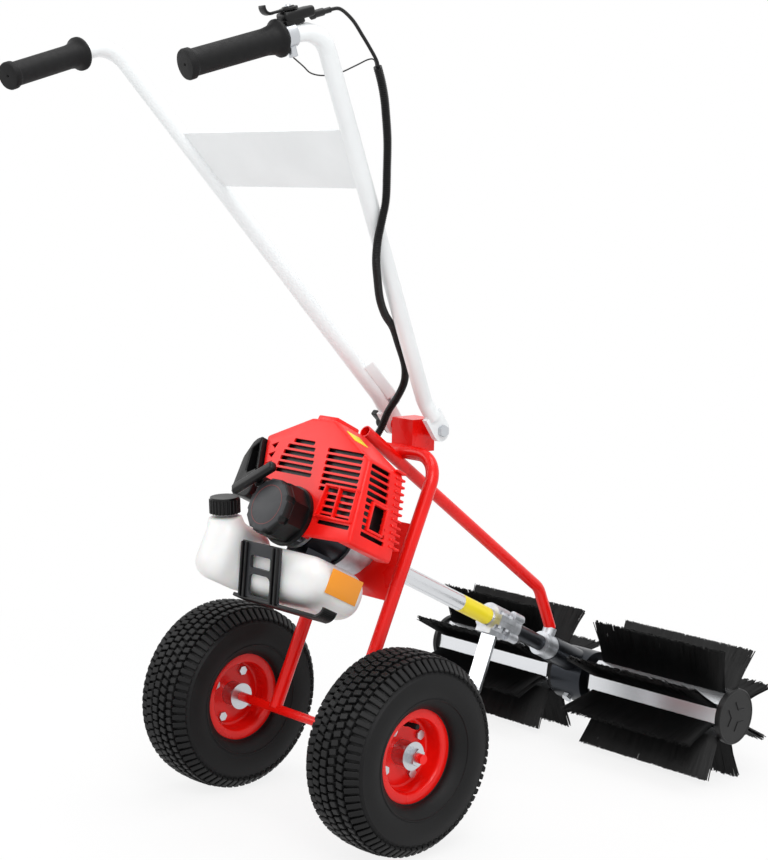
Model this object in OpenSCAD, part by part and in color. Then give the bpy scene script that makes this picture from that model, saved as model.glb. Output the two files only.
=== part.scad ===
// Walk-behind brush sweeper: a two-stroke engine drives a cross brush through a tube shaft and a worm.
// Millimetres. X runs to the right wheel, Y to the brush, Z up from the ground.

/* [Wheels] */
// Outer diameter of a tyre
tyre_d = 270; // [255:1:290]
// Width of a tyre
tyre_w = 104; // [90:1:112]
// Thickness of a tyre's wall
tyre_wall = 7; // [5:0.5:9]
// Distance between the wheels' middle planes
track = 357; // [340:1:390]
// Diameter of a rim's flange
rim_d = 127; // [120:1:134]
// Diameter of the rim's bead seat
bead_d = 102; // [96:1:108]
// Distance between a rim's outer edges
rim_w = 57; // [50:1:64]
// Sheet thickness of a rim
rim_sheet = 2.6; // [2:0.1:3.5]
// Bolt circle of a rim's two halves
rim_pcd = 72; // [64:1:80]
// Diameter of a rim bolt
rim_bolt_d = 8; // [6:1:9]
// Diameter of a wheel hub
hub_d = 34; // [28:1:40]
// Length of a wheel hub
hub_l = 48; // [40:1:56]
// Diameter of the axle rod
axle_d = 13; // [11:0.5:16]
// Length of the axle past a hub
axle_end = 21; // [18:1:28]

/* [Frame] */
// Diameter of the bent frame tube
leg_d = 19; // [17:0.5:22]
// Wall of the red tubes
tube_wall = 1.6; // [1.2:0.1:2.5]
// Distance between the two legs
leg_gap = 152; // [140:1:170]
// Height of the top bar above the axle
bar_rise = 363; // [345:1:380]
// Distance of the top bar ahead of the axle
bar_ahead = 162; // [154:1:168]
// Bend radius of the frame tube
leg_bend_r = 40; // [34:1:48]
// Thickness of the engine plate
plate_sheet = 4; // [3:0.5:6]
// Height of the engine plate
plate_h = 112; // [104:1:124]
// Diameter of the brace tube
brace_d = 18; // [16:0.5:20]
// Length of the brace behind the top bar
brace_tail = 88; // [70:1:100]
// Distance of the brace's bend ahead of the top bar
brace_reach = 303; // [295:1:312]
// Drop of the brace's bend below the top bar
brace_fall = 238; // [230:1:244]
// Width of the stand's flat bar
stand_w = 29; // [22:1:34]
// Thickness of the stand's flat bar
stand_sheet = 5; // [4:0.5:7]
// Length of the stand's foot
foot_l = 64; // [50:1:80]

/* [Pivot] */
// Distance of the handle pivot ahead of the top bar
pivot_ahead = 28; // [26:1:34]
// Height of the handle pivot above the top bar
pivot_rise = 33; // [30:1:38]
// Diameter of the pivot bolt
pivot_d = 10; // [8:0.5:12]
// Width of the pivot bracket
bracket_w = 42; // [36:1:50]
// Sheet thickness of the pivot bracket
bracket_sheet = 3; // [2:0.5:4]
// Diameter of the cross tube round the pivot bolt
cross_tube_d = 20; // [17:1:22]
// Span of the wing knob
knob_span = 46; // [36:1:52]

/* [Handle] */
// Diameter of an arm's tube
arm_d = 22.2; // [20:0.2:25.4]
// Distance between the arms at the pivot
arm_gap = 94; // [90:1:104]
// Width of an arm's flattened end
tongue_w = 31; // [27:1:34]
// Thickness of an arm's flattened end
tongue_t = 8; // [6:0.5:10]
// Height of the arms' upper bend above the pivot
handle_rise = 517; // [480:1:560]
// Distance of the arms' upper bend behind the pivot
handle_back = 380; // [350:1:410]
// Distance between the arms at the upper bend
handle_w = 424; // [400:1:440]
// Bend radius of the arms
arm_bend_r = 45; // [40:1:48]
// Length of a grip
grip_l = 127; // [110:1:140]
// Diameter of a grip
grip_d = 31; // [28:0.5:36]
// Diameter of a grip's flange
grip_flange_d = 43; // [38:1:46]
// Height of the cross panel, along the arms
panel_h = 86; // [70:1:100]
// Thickness of the cross panel
panel_sheet = 3; // [2:0.5:5]
// Width of the throttle housing
throttle_w = 25; // [22:1:30]
// Length of the thumb lever
lever_l = 46; // [36:1:54]
// Outer diameter of the ribbed cable conduit
conduit_d = 11; // [10:0.5:12]
// Diameter of the throttle cable
cable_d = 4.4; // [4:0.2:4.6]
// Diameter of the stop wire
wire_d = 1.8; // [1.6:0.1:2]

/* [Drive line] */
// Fall of the drive line below level, in degrees
drive_lean = 26.3; // [25:0.1:27.5]
// Distance of the engine plate along the drive line
plate_at = 107.5; // [105:0.5:110]
// Length of the drive line from the engine plate to the brush
drive_l = 544.5; // [535:0.5:560]
// Diameter of the drive tube
drive_tube_d = 26; // [24:0.5:28]
// Wall of the drive tube
drive_tube_wall = 2; // [1.5:0.1:3]
// Diameter of the drive shaft
shaft_d = 8; // [7:0.5:9]
// Diameter of the neck sleeve
sleeve_d = 24; // [22:0.5:25]
// Length of the tube clamp
clamp_l = 36; // [30:1:40]
// Width of the tube clamp
clamp_w = 56; // [50:1:64]
// Diameter of the cast flange
flange_d = 58; // [52:1:64]
// Distance between the worm's and the wheel's axes
worm_gap = 15; // [15:0.1:15.6]
// Teeth of the worm wheel
wheel_teeth = 16; // [16:4:16]
// Outer diameter of the gearbox
gearbox_d = 86; // [80:1:92]
// Width of the gearbox
gearbox_w = 60; // [54:1:64]

/* [Brush] */
// Length of the whole brush
brush_l = 600; // [560:1:640]
// Diameter of the brush over its tips
brush_d = 211; // [195:1:225]
// Width of the brush core over its flats
core_w = 72; // [66:1:78]
// Diameter of an end cap
cap_d = 84; // [80:1:90]
// Thickness of an end cap
cap_t = 10; // [8:0.5:14]
// Diameter of the brush axle
brush_axle_d = 12; // [10:0.5:14]
// Free space between the two drums
drum_gap = 76; // [74:1:84]
// Thickness of a bristle strip at its root
strip_t = 7; // [5:0.5:9]
// How far the outermost strands lean past the strip's end
strand_flare = 8; // [4:1:9]
// Strands of each strip
strands = 22; // [19:1:31]
// Strips round each drum
strips = 8; // [8:1:8]

/* [Engine] */
// Width of the engine shroud
shroud_w = 236; // [225:1:250]
// Height of the engine shroud
shroud_h = 167; // [163:1:178]
// Depth of the engine shroud
shroud_l = 85; // [80:1:92]
// Wall of the engine shroud
shroud_wall = 3; // [2:0.5:4]
// Diameter of the starter's flange
starter_d = 84; // [80:1:86]
// Diameter of the starter's face
starter_face_d = 77; // [70:1:82]
// Depth of the starter housing
starter_l = 47; // [40:1:54]
// Diameter of the crankcase
crankcase_d = 72; // [66:1:76]
// Diameter of the cylinder's fins
fin_d = 64; // [56:1:68]
// Number of cylinder fins
fins = 7; // [5:1:8]
// Diameter of the clutch housing
clutch_d = 82; // [76:1:86]
// Length of the fuel tank
tank_l = 118; // [108:1:124]
// Width of the fuel tank's main part
tank_w = 168; // [158:1:178]
// Height of the fuel tank
tank_h = 75; // [68:1:80]
// Rounding of the fuel tank
tank_r = 18; // [14:1:22]
// Wall of the fuel tank
tank_wall = 3; // [2:0.5:4]
// Diameter of the tank cap
tank_cap_d = 43; // [38:1:46]
// Thickness of the starter's pull bar
starter_bar_d = 11; // [9:0.5:12]

/* [Hidden] */
$fn = 48;
overrun = 1;
fit = 0.05;
clear = 0.3;
cross_share = 0.9;
bend_thin = 0.1;
bend_lap = 0.5;
round_fn = 24;
wheel_fn = 72;
red = "#e0221c";
dark_red = "#a81612";
black = "#1c1c1e";
white = "#f2f2f0";
alloy = "#c9ccd0";
steel = "#8e9398";
rubber = "#232325";
graphite = "#3a3c40";
bronze = "#b08a45";

// Overall places, in the axle frame: Y zero at the axle
axle_z = tyre_d / 2;
leg_x = leg_gap / 2;
bar = [0, bar_ahead, axle_z + bar_rise];
pivot = [0, bar.y + pivot_ahead, bar.z + pivot_rise];
strip_angle = 15;
tip_share = 0.3;
strand_tip_t = strip_t * tip_share;
brush_z = brush_d / 2 * cos(strip_angle) + strand_tip_t / 2 * sin(strip_angle);
brush_at = plate_at + drive_l;
drive_z = brush_z + brush_at * sin(drive_lean) + worm_gap * cos(drive_lean);
brush_y = brush_at * cos(drive_lean) - worm_gap * sin(drive_lean);

// Handle lines
grip_droop = 17.3;
grip_toe = 9;
grip_dir = [-sin(grip_toe) * cos(grip_droop), -cos(grip_toe) * cos(grip_droop), -sin(grip_droop)];
arm_x = arm_gap / 2;
knee_share = 0.084;
arm_low = pivot + [arm_x, 0, 0];
arm_top = pivot + [handle_w / 2, -handle_back, handle_rise];
arm_knee = arm_low + [0, -handle_back, handle_rise] * knee_share;
grip_start = 57;
grip_cap_t = 8;
grip_flange_t = 5;
tongue_blend_share = 0.75;
panel_share = 0.76;
grip_from = arm_top + grip_dir * grip_start;
grip_end = grip_from + grip_dir * grip_l;
rear_y = grip_end.y - grip_d / 2 * sqrt(1 - pow(grip_dir.y, 2));
front_y = brush_y + brush_d / 2 * cos(strip_angle) + strand_tip_t / 2 * sin(strip_angle);
axle_y = -(front_y + rear_y) / 2;

// Wheel values
tyre_belly_share = 0.52;
tyre_wall_pow = 0.75;
tyre_crown_pow = 0.55;
tyre_sweep = 122;
tyre_inner_sweep = 96;
tyre_steps = 28;
bead_t = 9;
bolt_head_share = 1.7;
bolt_depth_share = 0.65;
rim_bolts = 4;
rim_bolt_angle = 30;
washer_t = 2;
washer_d = 38;
axle_nut_d = 24;
axle_nut_t = 10;
valve_d = 8;
valve_l = 30;

// Frame values
brace_drop = 18;
brace_bend_r = 34;
plate_half = plate_sheet / 2;
plate_low = 56;
stand_lean = 22;
foot_back_share = 0.4;
bracket_top_share = 0.7;
bracket_nose = 16;
knob_l = 26;
knob_wing_share = 0.4;

// Drive line values
clamp_short = 242.5;
clamp_at = brush_at - clamp_short;
clamp_h = 24;
clamp_body_d = 44;
ear_t = 8;
clamp_bolt_d = 6;
clamp_bolt_share = 0.37;
flange_t = 22;
flange_lugs = 4;
flange_lug_d = 15;
brace_ring_w = 26;
brace_ring_d = 38;
brace_pad = 10;
tube_from = 91;
bush_l = 14;
bush_shares = [0.06, 0.5, 0.94];
neck_l = 100;
neck_d = 40;
gearbox_wall = 5;
cover_t = 5;
bearing_d = 28;
bearing_w = 8;
worm_r = 5;
worm_depth = 1;
worm_l = 22;
worm_pitch = 2 * (worm_gap - worm_r) * PI / wheel_teeth;
worm_steps = 8;
wheel_steps = 8;
worm_sides = 12;
wheel_w = 6;
wheel_depth = 0.9;
plug_d = 10;
plug_angle = 222;
clamp_from = clamp_at - clamp_l / 2;
flange_from = clamp_at + clamp_l / 2 + clear;
flange_to = flange_from + flange_t;
sleeve_from = flange_from + flange_t / 2;
neck_from = brush_at - neck_l;
sleeve_to = neck_from + neck_l / 2;
ring_at = neck_from - brace_ring_w / 2 - clear;

// Brush values
groove_depth = 5;
strip_base = 6;
core_wall = 9;
collar_t = 6;
collar_d = 64;
brush_end = brush_l / 2;
core_from = drum_gap / 2 + collar_t;
core_to = brush_end - cap_t;
core_l = core_to - core_from;
strip_l = core_l - 2 * strand_flare;
strand_root_share = 0.34;
strand_tip_share = 0.26;
cap_pockets = 3;
pocket_share = 0.3;
pocket_place_share = 0.28;
pocket_depth = 3.4;

// Engine values
shroud_left = 110;
shroud_low = 23;
shroud_back = 47;
shroud_shares = [[0.54, 0], [1, 0.03], [0.92, 0.73], [0.53, 1], [0.33, 0.99], [0, 0.77],
    [0.06, 0.52], [0.09, 0.32], [0.27, 0]];
slot_h = 5;
slot_pitch = 9;
slot_left = 79;
left_slot_l = 71;
left_slot_z = 47;
left_rows = 8;
slot_right = 10;
right_slot_l = 84;
right_slot_z = 47;
right_rows = 8;
low_slot_x = 50;
low_slot_l = 48;
low_slot_z = 2;
low_rows = 5;
side_slot_x = 71;
side_slot_l = 51;
side_slot_back = 12;
side_rows = 11;
post_x = 13;
post_d = 9;
post_back = 14;
post_ahead = 6;
open_left = 38;
open_w = 142;
front_rake = 10;
starter_lip = 5;
starter_sides = 8;
starter_face_share = 0.25;
starter_wall = 3;
crank_d = 16;
crankcase_from = -24;
crankcase_to = 40;
foot_w = 40;
crankcase_foot_h = 13.5;
flywheel_d = 76;
flywheel_w = 14;
flywheel_from = -42;
blades = 14;
disc_share = 0.4;
blade_share = 0.22;
bore_d = 40;
barrel_wall = 4;
fin_t = 2.4;
fin_pitch = 9;
plug_l = 20;
plug_hex_d = 16;
plug_hex_h = 8;
plug_core_d = 10;
clutch_wall = 4;
clutch_nose_d = 42;
clutch_taper = 12;
mouth_share = 0.8;
drum_d = 68;
drum_w = 20;
drum_from = 58;
drum_wall = 3;
shoe_gap = 2;
muffler_w = 46;
muffler_l = 52;
muffler_h = 78;
muffler_from = 44;
muffler_back = 22;
muffler_r = 8;
carb_w = 26;
carb_l = 28;
carb_h = 34;
port_share = 0.6;
carb_r = 3;
carb_port_d = 13;
muffler_port_d = 15;
carb_reach = 18;
filter_line = [[-102, 22], [-123, 22], [-123, 66], [-115, 88], [-102, 94]];
filter_r = 10;
filter_hole = [[-101, 57], [-114, 50], [-118, 81], [-110, 90]];
filter_hole_r = 3;
filter_l = 44;
filter_behind = 7;
filter_floor_share = 0.6;
tank_top = 43;
tank_back = 66;
tank_left = 70;
lobe_w = 58;
lobe_l = 98;
lobe_left = 104;
lobe_back = 104;
lobe_top = 26;
lobe_lift = 4;
tank_slant = 16;
neck_lean = 30;
filler_d = 30;
filler_l = 24;
filler_x = 84;
filler_back = 85;
cap_h = 22;
cap_ribs = 24;
guard_t = 6;
guard_rise = 21;
guard_h = 77;
skid_left = 52;
guard_w = 80;
guard_bar = 14;
skid_t = 5;
skid_w = 26;
skid_l = 168;
handle_bar_l = 76;
handle_bar_back = 104;
handle_bar_angle = 36;
handle_stem_l = 16;
eyelet_x = 33;
eyelet_z = 30;
eyelet_d = 17;
stem_d = 8;

// Throttle values
throttle_at = 45;
ring_w = 14;
ring_wall = 4;
throttle_l = 49;
throttle_h = 12;
throttle_rise = 15;
throttle_back = 11;
socket_d = 10;
socket_l = 25;
lever_t = 3;
lever_disc_share = 0.9;
lever_w = 11;
lever_tab = 12;
lever_pin_d = 5;
lever_x = 8;
stop_boss_d = 11;
stop_boss_l = 14;

// Routes of the cables, in the axle frame
cable_route = [[214, -177, 1068], [214, -162, 1070], [208, -137, 1060], [201, -114, 1044],
    [197, -98, 1031], [195.1, -85.3, 1017.9], [193, -79.9, 1009.8], [191.3, -75.5, 1003.3]];
wire_route = [[206, -225, 1010], [200, -205, 1002], [190, -185, 996], [182, -160, 995], [182, -135, 999],
    [186, -110, 1010], [190, -94, 1018], [191.7, -85.7, 1018.3], [189.8, -80.3, 1010.4],
    [188, -75.9, 1003.9]];
conduit_route = [[192, -80, 1010], [188, -70, 995], [184, -61, 978], [180, -54, 961], [172, -42, 925],
    [165, -35, 888], [158, -29, 851], [154, -31, 826], [145, -29, 801], [132, -19, 775], [115, 0, 749],
    [98, 21, 722], [81, 47, 700], [63, 79, 681], [47, 106, 655], [34, 130, 628], [25, 141, 609],
    [17, 145, 594], [7, 144, 577], [-8, 141, 555], [-20, 138, 528], [-25, 118, 500], [-25, 102, 475],
    [-22, 88, 450], [-22, 81, 435], [-22, 74, 420]];
curve_steps = 8;
cable_sides = 6;
cable_rings = 20;
conduit_ribs = 64;
conduit_sides = 8;
rib_depth = 0.9;
conduit_wall = 1.7;
clip_d = 18;
clip_h = 46.4;
clip_x = 22;
clip_at = 60;

// Vector helpers
function unit(v) = v / norm(v);
function turn_between(a, b) = acos(max(-1, min(1, a * b)));
function signed_pow(v, p) = sign(v) * pow(abs(v), p);

// Places the children at p with Z along d, and X square to the guide
module aim(p, d, guide = [1, 0, 0]) {
    z = unit(d);
    x = unit(guide - z * (guide * z));
    y = cross(z, x);
    multmatrix([[x.x, y.x, z.x, p.x], [x.y, y.y, z.y, p.y], [x.z, y.z, z.z, p.z], [0, 0, 0, 1]])
        children();
}

module rod(a, b, d) {
    guide = abs(unit(b - a).x) > cross_share ? [0, 1, 0] : [1, 0, 0];
    aim(a, b - a, guide) cylinder(h = norm(b - a), d = d);
}

// A round bar or, with a wall, a tube
module straight(l, d, wall) {
    difference() {
        cylinder(h = l, d = d);
        if (wall > 0) translate([0, 0, -overrun]) cylinder(h = l + 2 * overrun, d = d - 2 * wall);
    }
}

// A bend that leaves the origin along Z and turns towards X
module elbow(turn, bend_r, d, wall) {
    translate([bend_r, 0, 0]) rotate([90, 0, 180]) rotate_extrude(angle = turn)
        translate([bend_r, 0]) difference() {
            circle(d = d);
            if (wall > 0) circle(d = d - 2 * wall);
        }
}

// Straights and bends end to end, each placed from the end of the one before; x and y are its axes.
// A bend is drawn a hair thinner, and the straights lap over its ends
module run_on(pts, back, i, x, y, bend_r, d, wall) {
    a = unit(pts[i + 1] - pts[i]);
    l = norm(pts[i + 1] - pts[i]) - back[i] - back[i + 1];
    lap_in = i > 0 ? bend_lap : 0;
    lap_out = i < len(pts) - 2 ? bend_lap : 0;
    translate([0, 0, -lap_in]) straight(l + lap_in + lap_out, d, wall);
    if (i < len(pts) - 2) {
        b = unit(pts[i + 2] - pts[i + 1]);
        side = unit(b - a * (a * b));
        turn = turn_between(a, b);
        translate([0, 0, l]) rotate([0, 0, atan2(side * y, side * x)]) {
            elbow(turn, bend_r, d - 2 * bend_thin, max(wall - 2 * bend_thin, 0));
            translate([bend_r, 0, 0]) rotate([0, turn, 0]) translate([-bend_r, 0, 0])
                run_on(pts, back, i + 1, side * cos(turn) - a * sin(turn), cross(a, side), bend_r, d, wall);
        }
    }
}

// A bent bar or tube through the points, with the same radius at each corner
module bent_rod(pts, bend_r, d, wall = 0) {
    last = len(pts) - 1;
    dirs = [for (i = [0:last - 1]) unit(pts[i + 1] - pts[i])];
    back = [for (i = [0:last])
        i == 0 || i == last ? 0 : bend_r * tan(turn_between(dirs[i - 1], dirs[i]) / 2)];
    side = unit(dirs[1] - dirs[0] * (dirs[0] * dirs[1]));
    aim(pts[0], dirs[0], side) run_on(pts, back, 0, side, cross(dirs[0], side), bend_r, d, wall);
}

// Frames: the axle, the drive line and a wheel
module at_axle() translate([0, axle_y, 0]) children();
module at_drive() at_axle() translate([0, 0, drive_z]) rotate([-drive_lean, 0, 0]) children();
module at_wheel(side) at_axle() translate([side * track / 2, 0, axle_z]) rotate([0, side * 90, 0]) children();
module at_brush() at_axle() translate([0, brush_y, brush_z]) children();
module at_throttle() at_axle() aim(arm_top + grip_dir * throttle_at, [0, 0, 1] - grip_dir * grip_dir.z,
    -grip_dir) children();

// A point of the drive frame in the axle frame
function from_drive(p) = [p.x, p.y * cos(drive_lean) + p.z * sin(drive_lean),
    drive_z - p.y * sin(drive_lean) + p.z * cos(drive_lean)];

// A round bar along the drive line
module drive_rod(from, to, d) translate([0, from, 0]) rotate([-90, 0, 0]) cylinder(h = to - from, d = d);
// An outline in X and the drive frame's height, pushed along the drive line
module drive_slab(from, to) translate([0, to, 0]) rotate([90, 0, 0]) linear_extrude(to - from) children();
module cross_rod(p, from, to, d) translate([from, p.y, p.z]) rotate([0, 90, 0])
    cylinder(h = to - from, d = d);
module hex_head(d, h) cylinder(h = h, d = d, $fn = 6);

// Wheels

// Half section of a tyre's outer or inner skin, as radius and width
function tyre_skin(half_w, crown_r, sweep) =
    let (middle = bead_d / 2 + (tyre_d - bead_d) / 2 * tyre_belly_share)
    [for (i = [0:tyre_steps]) let (f = sweep * (2 * i / tyre_steps - 1))
        [middle + (crown_r - middle) * signed_pow(cos(f), tyre_crown_pow),
            half_w * signed_pow(sin(f), tyre_wall_pow)]];

module tyre(side) {
    seat = rim_w / 2 - rim_sheet - fit;
    heel = [bead_d / 2 + fit, seat];
    lip = [rim_d / 2 + rim_sheet / 2, seat];
    toe = [bead_d / 2 + fit, seat - bead_t];
    neck = [rim_d / 2 + tyre_wall, seat - bead_t];
    outer = tyre_skin(tyre_w / 2, tyre_d / 2, tyre_sweep);
    inner = tyre_skin(tyre_w / 2 - tyre_wall, tyre_d / 2 - tyre_wall, tyre_inner_sweep);
    ring = concat([[heel.x, -heel.y], [lip.x, -lip.y]], outer, [lip, heel, toe, neck],
        [for (i = [tyre_steps:-1:0]) inner[i]], [[neck.x, -neck.y], [toe.x, -toe.y]]);
    color(rubber) at_wheel(side) {
        rotate_extrude($fn = wheel_fn) polygon(ring);
        rotate([0, 0, 180]) translate([bead_d / 2 - rim_sheet - valve_d, 0, rim_sheet + clear])
            cylinder(h = valve_l, d = valve_d);
    }
}

// Two pressed halves back to back, each with a disc, a barrel and a flange
module rim(side) {
    half = [[hub_d / 2 + fit, 0], [bead_d / 2, 0], [bead_d / 2, rim_w / 2 - rim_sheet],
        [rim_d / 2, rim_w / 2 - rim_sheet], [rim_d / 2, rim_w / 2], [bead_d / 2 - rim_sheet, rim_w / 2],
        [bead_d / 2 - rim_sheet, rim_sheet], [hub_d / 2 + fit, rim_sheet]];
    color(red) at_wheel(side) difference() {
        for (face = [0, 1]) mirror([0, 0, face]) rotate_extrude($fn = wheel_fn) polygon(half);
        for (i = [0:rim_bolts - 1]) rotate([0, 0, rim_bolt_angle + i * 360 / rim_bolts])
            translate([rim_pcd / 2, 0, -rim_w / 2]) cylinder(h = rim_w, d = rim_bolt_d + 2 * fit);
    }
}

module hub(side) {
    color(steel) at_wheel(side) translate([0, 0, -hub_l / 2]) difference() {
        cylinder(h = hub_l, d = hub_d);
        translate([0, 0, -overrun]) cylinder(h = hub_l + 2 * overrun, d = axle_d + 2 * fit);
    }
}

module rim_bolts(side) {
    head = rim_bolt_d * bolt_head_share;
    depth = rim_bolt_d * bolt_depth_share;
    color(steel) at_wheel(side) for (i = [0:rim_bolts - 1])
        rotate([0, 0, rim_bolt_angle + i * 360 / rim_bolts]) translate([rim_pcd / 2, 0, 0]) {
            translate([0, 0, -rim_sheet - depth]) cylinder(h = 2 * (rim_sheet + depth), d = rim_bolt_d);
            for (face = [0, 1]) mirror([0, 0, face]) translate([0, 0, rim_sheet]) hex_head(head, depth);
        }
}

axle_half = track / 2 + hub_l / 2 + axle_end;
module axle() color(red) at_axle() cross_rod([0, 0, axle_z], -axle_half, axle_half, axle_d);

// Inner and outer washers and an end nut for each wheel
module axle_nuts() {
    color(alloy) for (side = [-1, 1]) at_wheel(side) difference() {
        union() {
            for (face = [0, 1]) mirror([0, 0, face]) translate([0, 0, hub_l / 2 + clear])
                cylinder(h = washer_t, d = washer_d);
            translate([0, 0, hub_l / 2 + clear + washer_t]) hex_head(axle_nut_d, axle_nut_t);
        }
        translate([0, 0, -track / 2]) cylinder(h = track, d = axle_d + 2 * fit);
    }
}

// Frame

leg_points = [[-leg_x, 0, axle_z], [-leg_x, bar.y, bar.z], [leg_x, bar.y, bar.z], [leg_x, 0, axle_z]];
brace_bend = bar + [0, brace_reach, -brace_fall];
brace_bar = bar - [0, 0, brace_drop];
brace_rear = brace_bar + unit(brace_bar - brace_bend) * brace_tail;
brace_foot = from_drive([0, ring_at, brace_ring_d / 2 + brace_pad]);
brace_points = [brace_rear, brace_bend, brace_foot];

module frame_tube() {
    color(red) at_axle() difference() {
        bent_rod(leg_points, leg_bend_r, leg_d, tube_wall);
        cross_rod([0, 0, axle_z], -track, track, axle_d);
        rod(brace_rear, brace_bend, brace_d);
    }
}

module engine_plate() {
    color(dark_red) difference() {
        at_drive() difference() {
            translate([-leg_x, plate_at - plate_half, -plate_low]) cube([leg_gap, plate_sheet, plate_h]);
            drive_rod(plate_at - plate_sheet, plate_at + plate_sheet, drive_tube_d + 2 * fit);
        }
        at_axle() bent_rod(leg_points, leg_bend_r, leg_d);
    }
}

module brace_tube() {
    color(red) at_axle() bent_rod(brace_points, brace_bend_r, brace_d, tube_wall);
}

// Ring on the neck sleeve with a pad that the brace stands on
module brace_clamp() {
    foot_dir = unit(brace_bend - brace_foot);
    color(alloy) difference() {
        union() {
            at_drive() drive_rod(ring_at - brace_ring_w / 2, ring_at + brace_ring_w / 2, brace_ring_d);
            at_axle() rod(from_drive([0, ring_at, 0]), brace_foot, brace_d + 2 * tube_wall);
        }
        at_drive() drive_rod(ring_at - brace_ring_w, ring_at + brace_ring_w, sleeve_d + 2 * fit);
        at_axle() rod(brace_foot, brace_foot + foot_dir * brace_reach, brace_d + 2 * fit);
    }
}

// Folded red bracket with the cross tube that the arms hang on
module pivot_bracket() {
    tall = pivot_rise + cross_tube_d * bracket_top_share;
    deep = pivot_ahead + bracket_nose;
    color(red) at_axle() difference() {
        union() {
            translate([-bracket_w / 2, bar.y, bar.z]) difference() {
                cube([bracket_w, deep, tall]);
                translate([bracket_sheet, bracket_sheet, -overrun])
                    cube([bracket_w - 2 * bracket_sheet, deep, tall - bracket_sheet + overrun]);
            }
            cross_rod(pivot, -arm_x + tongue_t / 2 + clear, arm_x - tongue_t / 2 - clear, cross_tube_d);
        }
        cross_rod(pivot, -arm_gap, arm_gap, pivot_d + 2 * fit);
        cross_rod(bar, -arm_gap, arm_gap, leg_d);
        rod(brace_rear, brace_bend, brace_d);
    }
}

pivot_face = arm_x + tongue_t / 2 + clear;
module pivot_bolt() {
    head = pivot_d * bolt_head_share;
    depth = pivot_d * bolt_depth_share;
    color(steel) at_axle() {
        cross_rod(pivot, -pivot_face - knob_l / 2, pivot_face, pivot_d);
        translate([pivot_face, pivot.y, pivot.z]) rotate([0, 90, 0]) hex_head(head, depth);
    }
}

// Hub and two flat wings
module lock_knob() {
    hub_size = pivot_d * bolt_head_share;
    wing_t = pivot_d * bolt_depth_share;
    color(black) at_axle() translate([-pivot_face, pivot.y, pivot.z]) rotate([0, -90, 0]) difference() {
        union() {
            cylinder(h = knob_l, d = hub_size);
            translate([-wing_t / 2, -knob_span / 2, knob_l * knob_wing_share])
                cube([wing_t, knob_span, knob_l * knob_wing_share]);
        }
        translate([0, 0, -overrun]) cylinder(h = knob_l * (1 - knob_wing_share), d = pivot_d + 2 * fit);
    }
}

// Flat bar down from the tube clamp, with a foot on the ground
stand_top = from_drive([0, clamp_at, -clamp_h]);
stand_foot_y = stand_top.y - stand_top.z * tan(stand_lean);
module support_leg() {
    foot = [0, stand_foot_y, 0];
    strip_w = stand_w - 2 * clear;
    color(alloy) difference() {
        union() {
            at_axle() aim(foot, stand_top - foot) translate([-strip_w / 2, -stand_sheet / 2, -stand_sheet])
                cube([strip_w, stand_sheet, norm(stand_top - foot) + stand_sheet + clamp_h]);
            at_axle() translate([-stand_w / 2, stand_foot_y - foot_l * foot_back_share, -stand_sheet])
                cube([stand_w, foot_l, 2 * stand_sheet]);
        }
        at_axle() translate([-stand_w, stand_foot_y - foot_l, -stand_w])
            cube([2 * stand_w, 2 * foot_l, stand_w]);
        at_drive() translate([-stand_w, clamp_from - clamp_l, -clamp_h])
            cube([2 * stand_w, 3 * clamp_l, 3 * clamp_h]);
    }
}

// Drive line

clamp_bolt_x = clamp_w * clamp_bolt_share;
module clamp_bolt_places() for (x = [-1, 1], y = [-1, 1])
    translate([x * clamp_bolt_x, clamp_at + y * clamp_l / 4, 0]) children();

// Two cast halves bolted round the tube, the lower one with a pad for the stand
module tube_clamp() {
    color(alloy) at_drive() difference() {
        union() {
            drive_rod(clamp_from, clamp_from + clamp_l, clamp_body_d);
            translate([-clamp_w / 2, clamp_from, -ear_t]) cube([clamp_w, clamp_l, 2 * ear_t]);
            translate([-stand_w / 2, clamp_from, -clamp_h]) cube([stand_w, clamp_l, clamp_h]);
        }
        translate([-clamp_w, clamp_from - overrun, -clear / 2])
            cube([2 * clamp_w, clamp_l + 2 * overrun, clear]);
        drive_rod(clamp_from - overrun, clamp_from + clamp_l + overrun, drive_tube_d + 2 * fit);
        clamp_bolt_places() {
            translate([0, 0, -clamp_h]) cylinder(h = 2 * clamp_h, d = clamp_bolt_d + 2 * fit);
            for (face = [0, 1]) mirror([0, 0, face]) translate([0, 0, ear_t])
                cylinder(h = clamp_h, d = clamp_bolt_d * bolt_head_share + 2 * clear);
        }
    }
}

flange_lug_r = (flange_d - flange_lug_d) / 2;
module flange_bolt_places() for (i = [0:flange_lugs - 1])
    rotate([0, 45 + i * 360 / flange_lugs, 0]) translate([flange_lug_r, 0, 0]) children();

// Lobed casting that joins the tube to the neck
module neck_flange() {
    color(alloy) at_drive() difference() {
        union() {
            drive_rod(flange_from, flange_to, flange_d - flange_lug_d);
            flange_bolt_places() drive_rod(flange_from, flange_to, flange_lug_d);
        }
        drive_rod(flange_from - overrun, sleeve_from, drive_tube_d + 2 * fit);
        drive_rod(sleeve_from - overrun, flange_to + overrun, sleeve_d + 2 * fit);
        flange_bolt_places() drive_rod(flange_from - overrun, flange_to + overrun, clamp_bolt_d + 2 * fit);
    }
}

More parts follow.
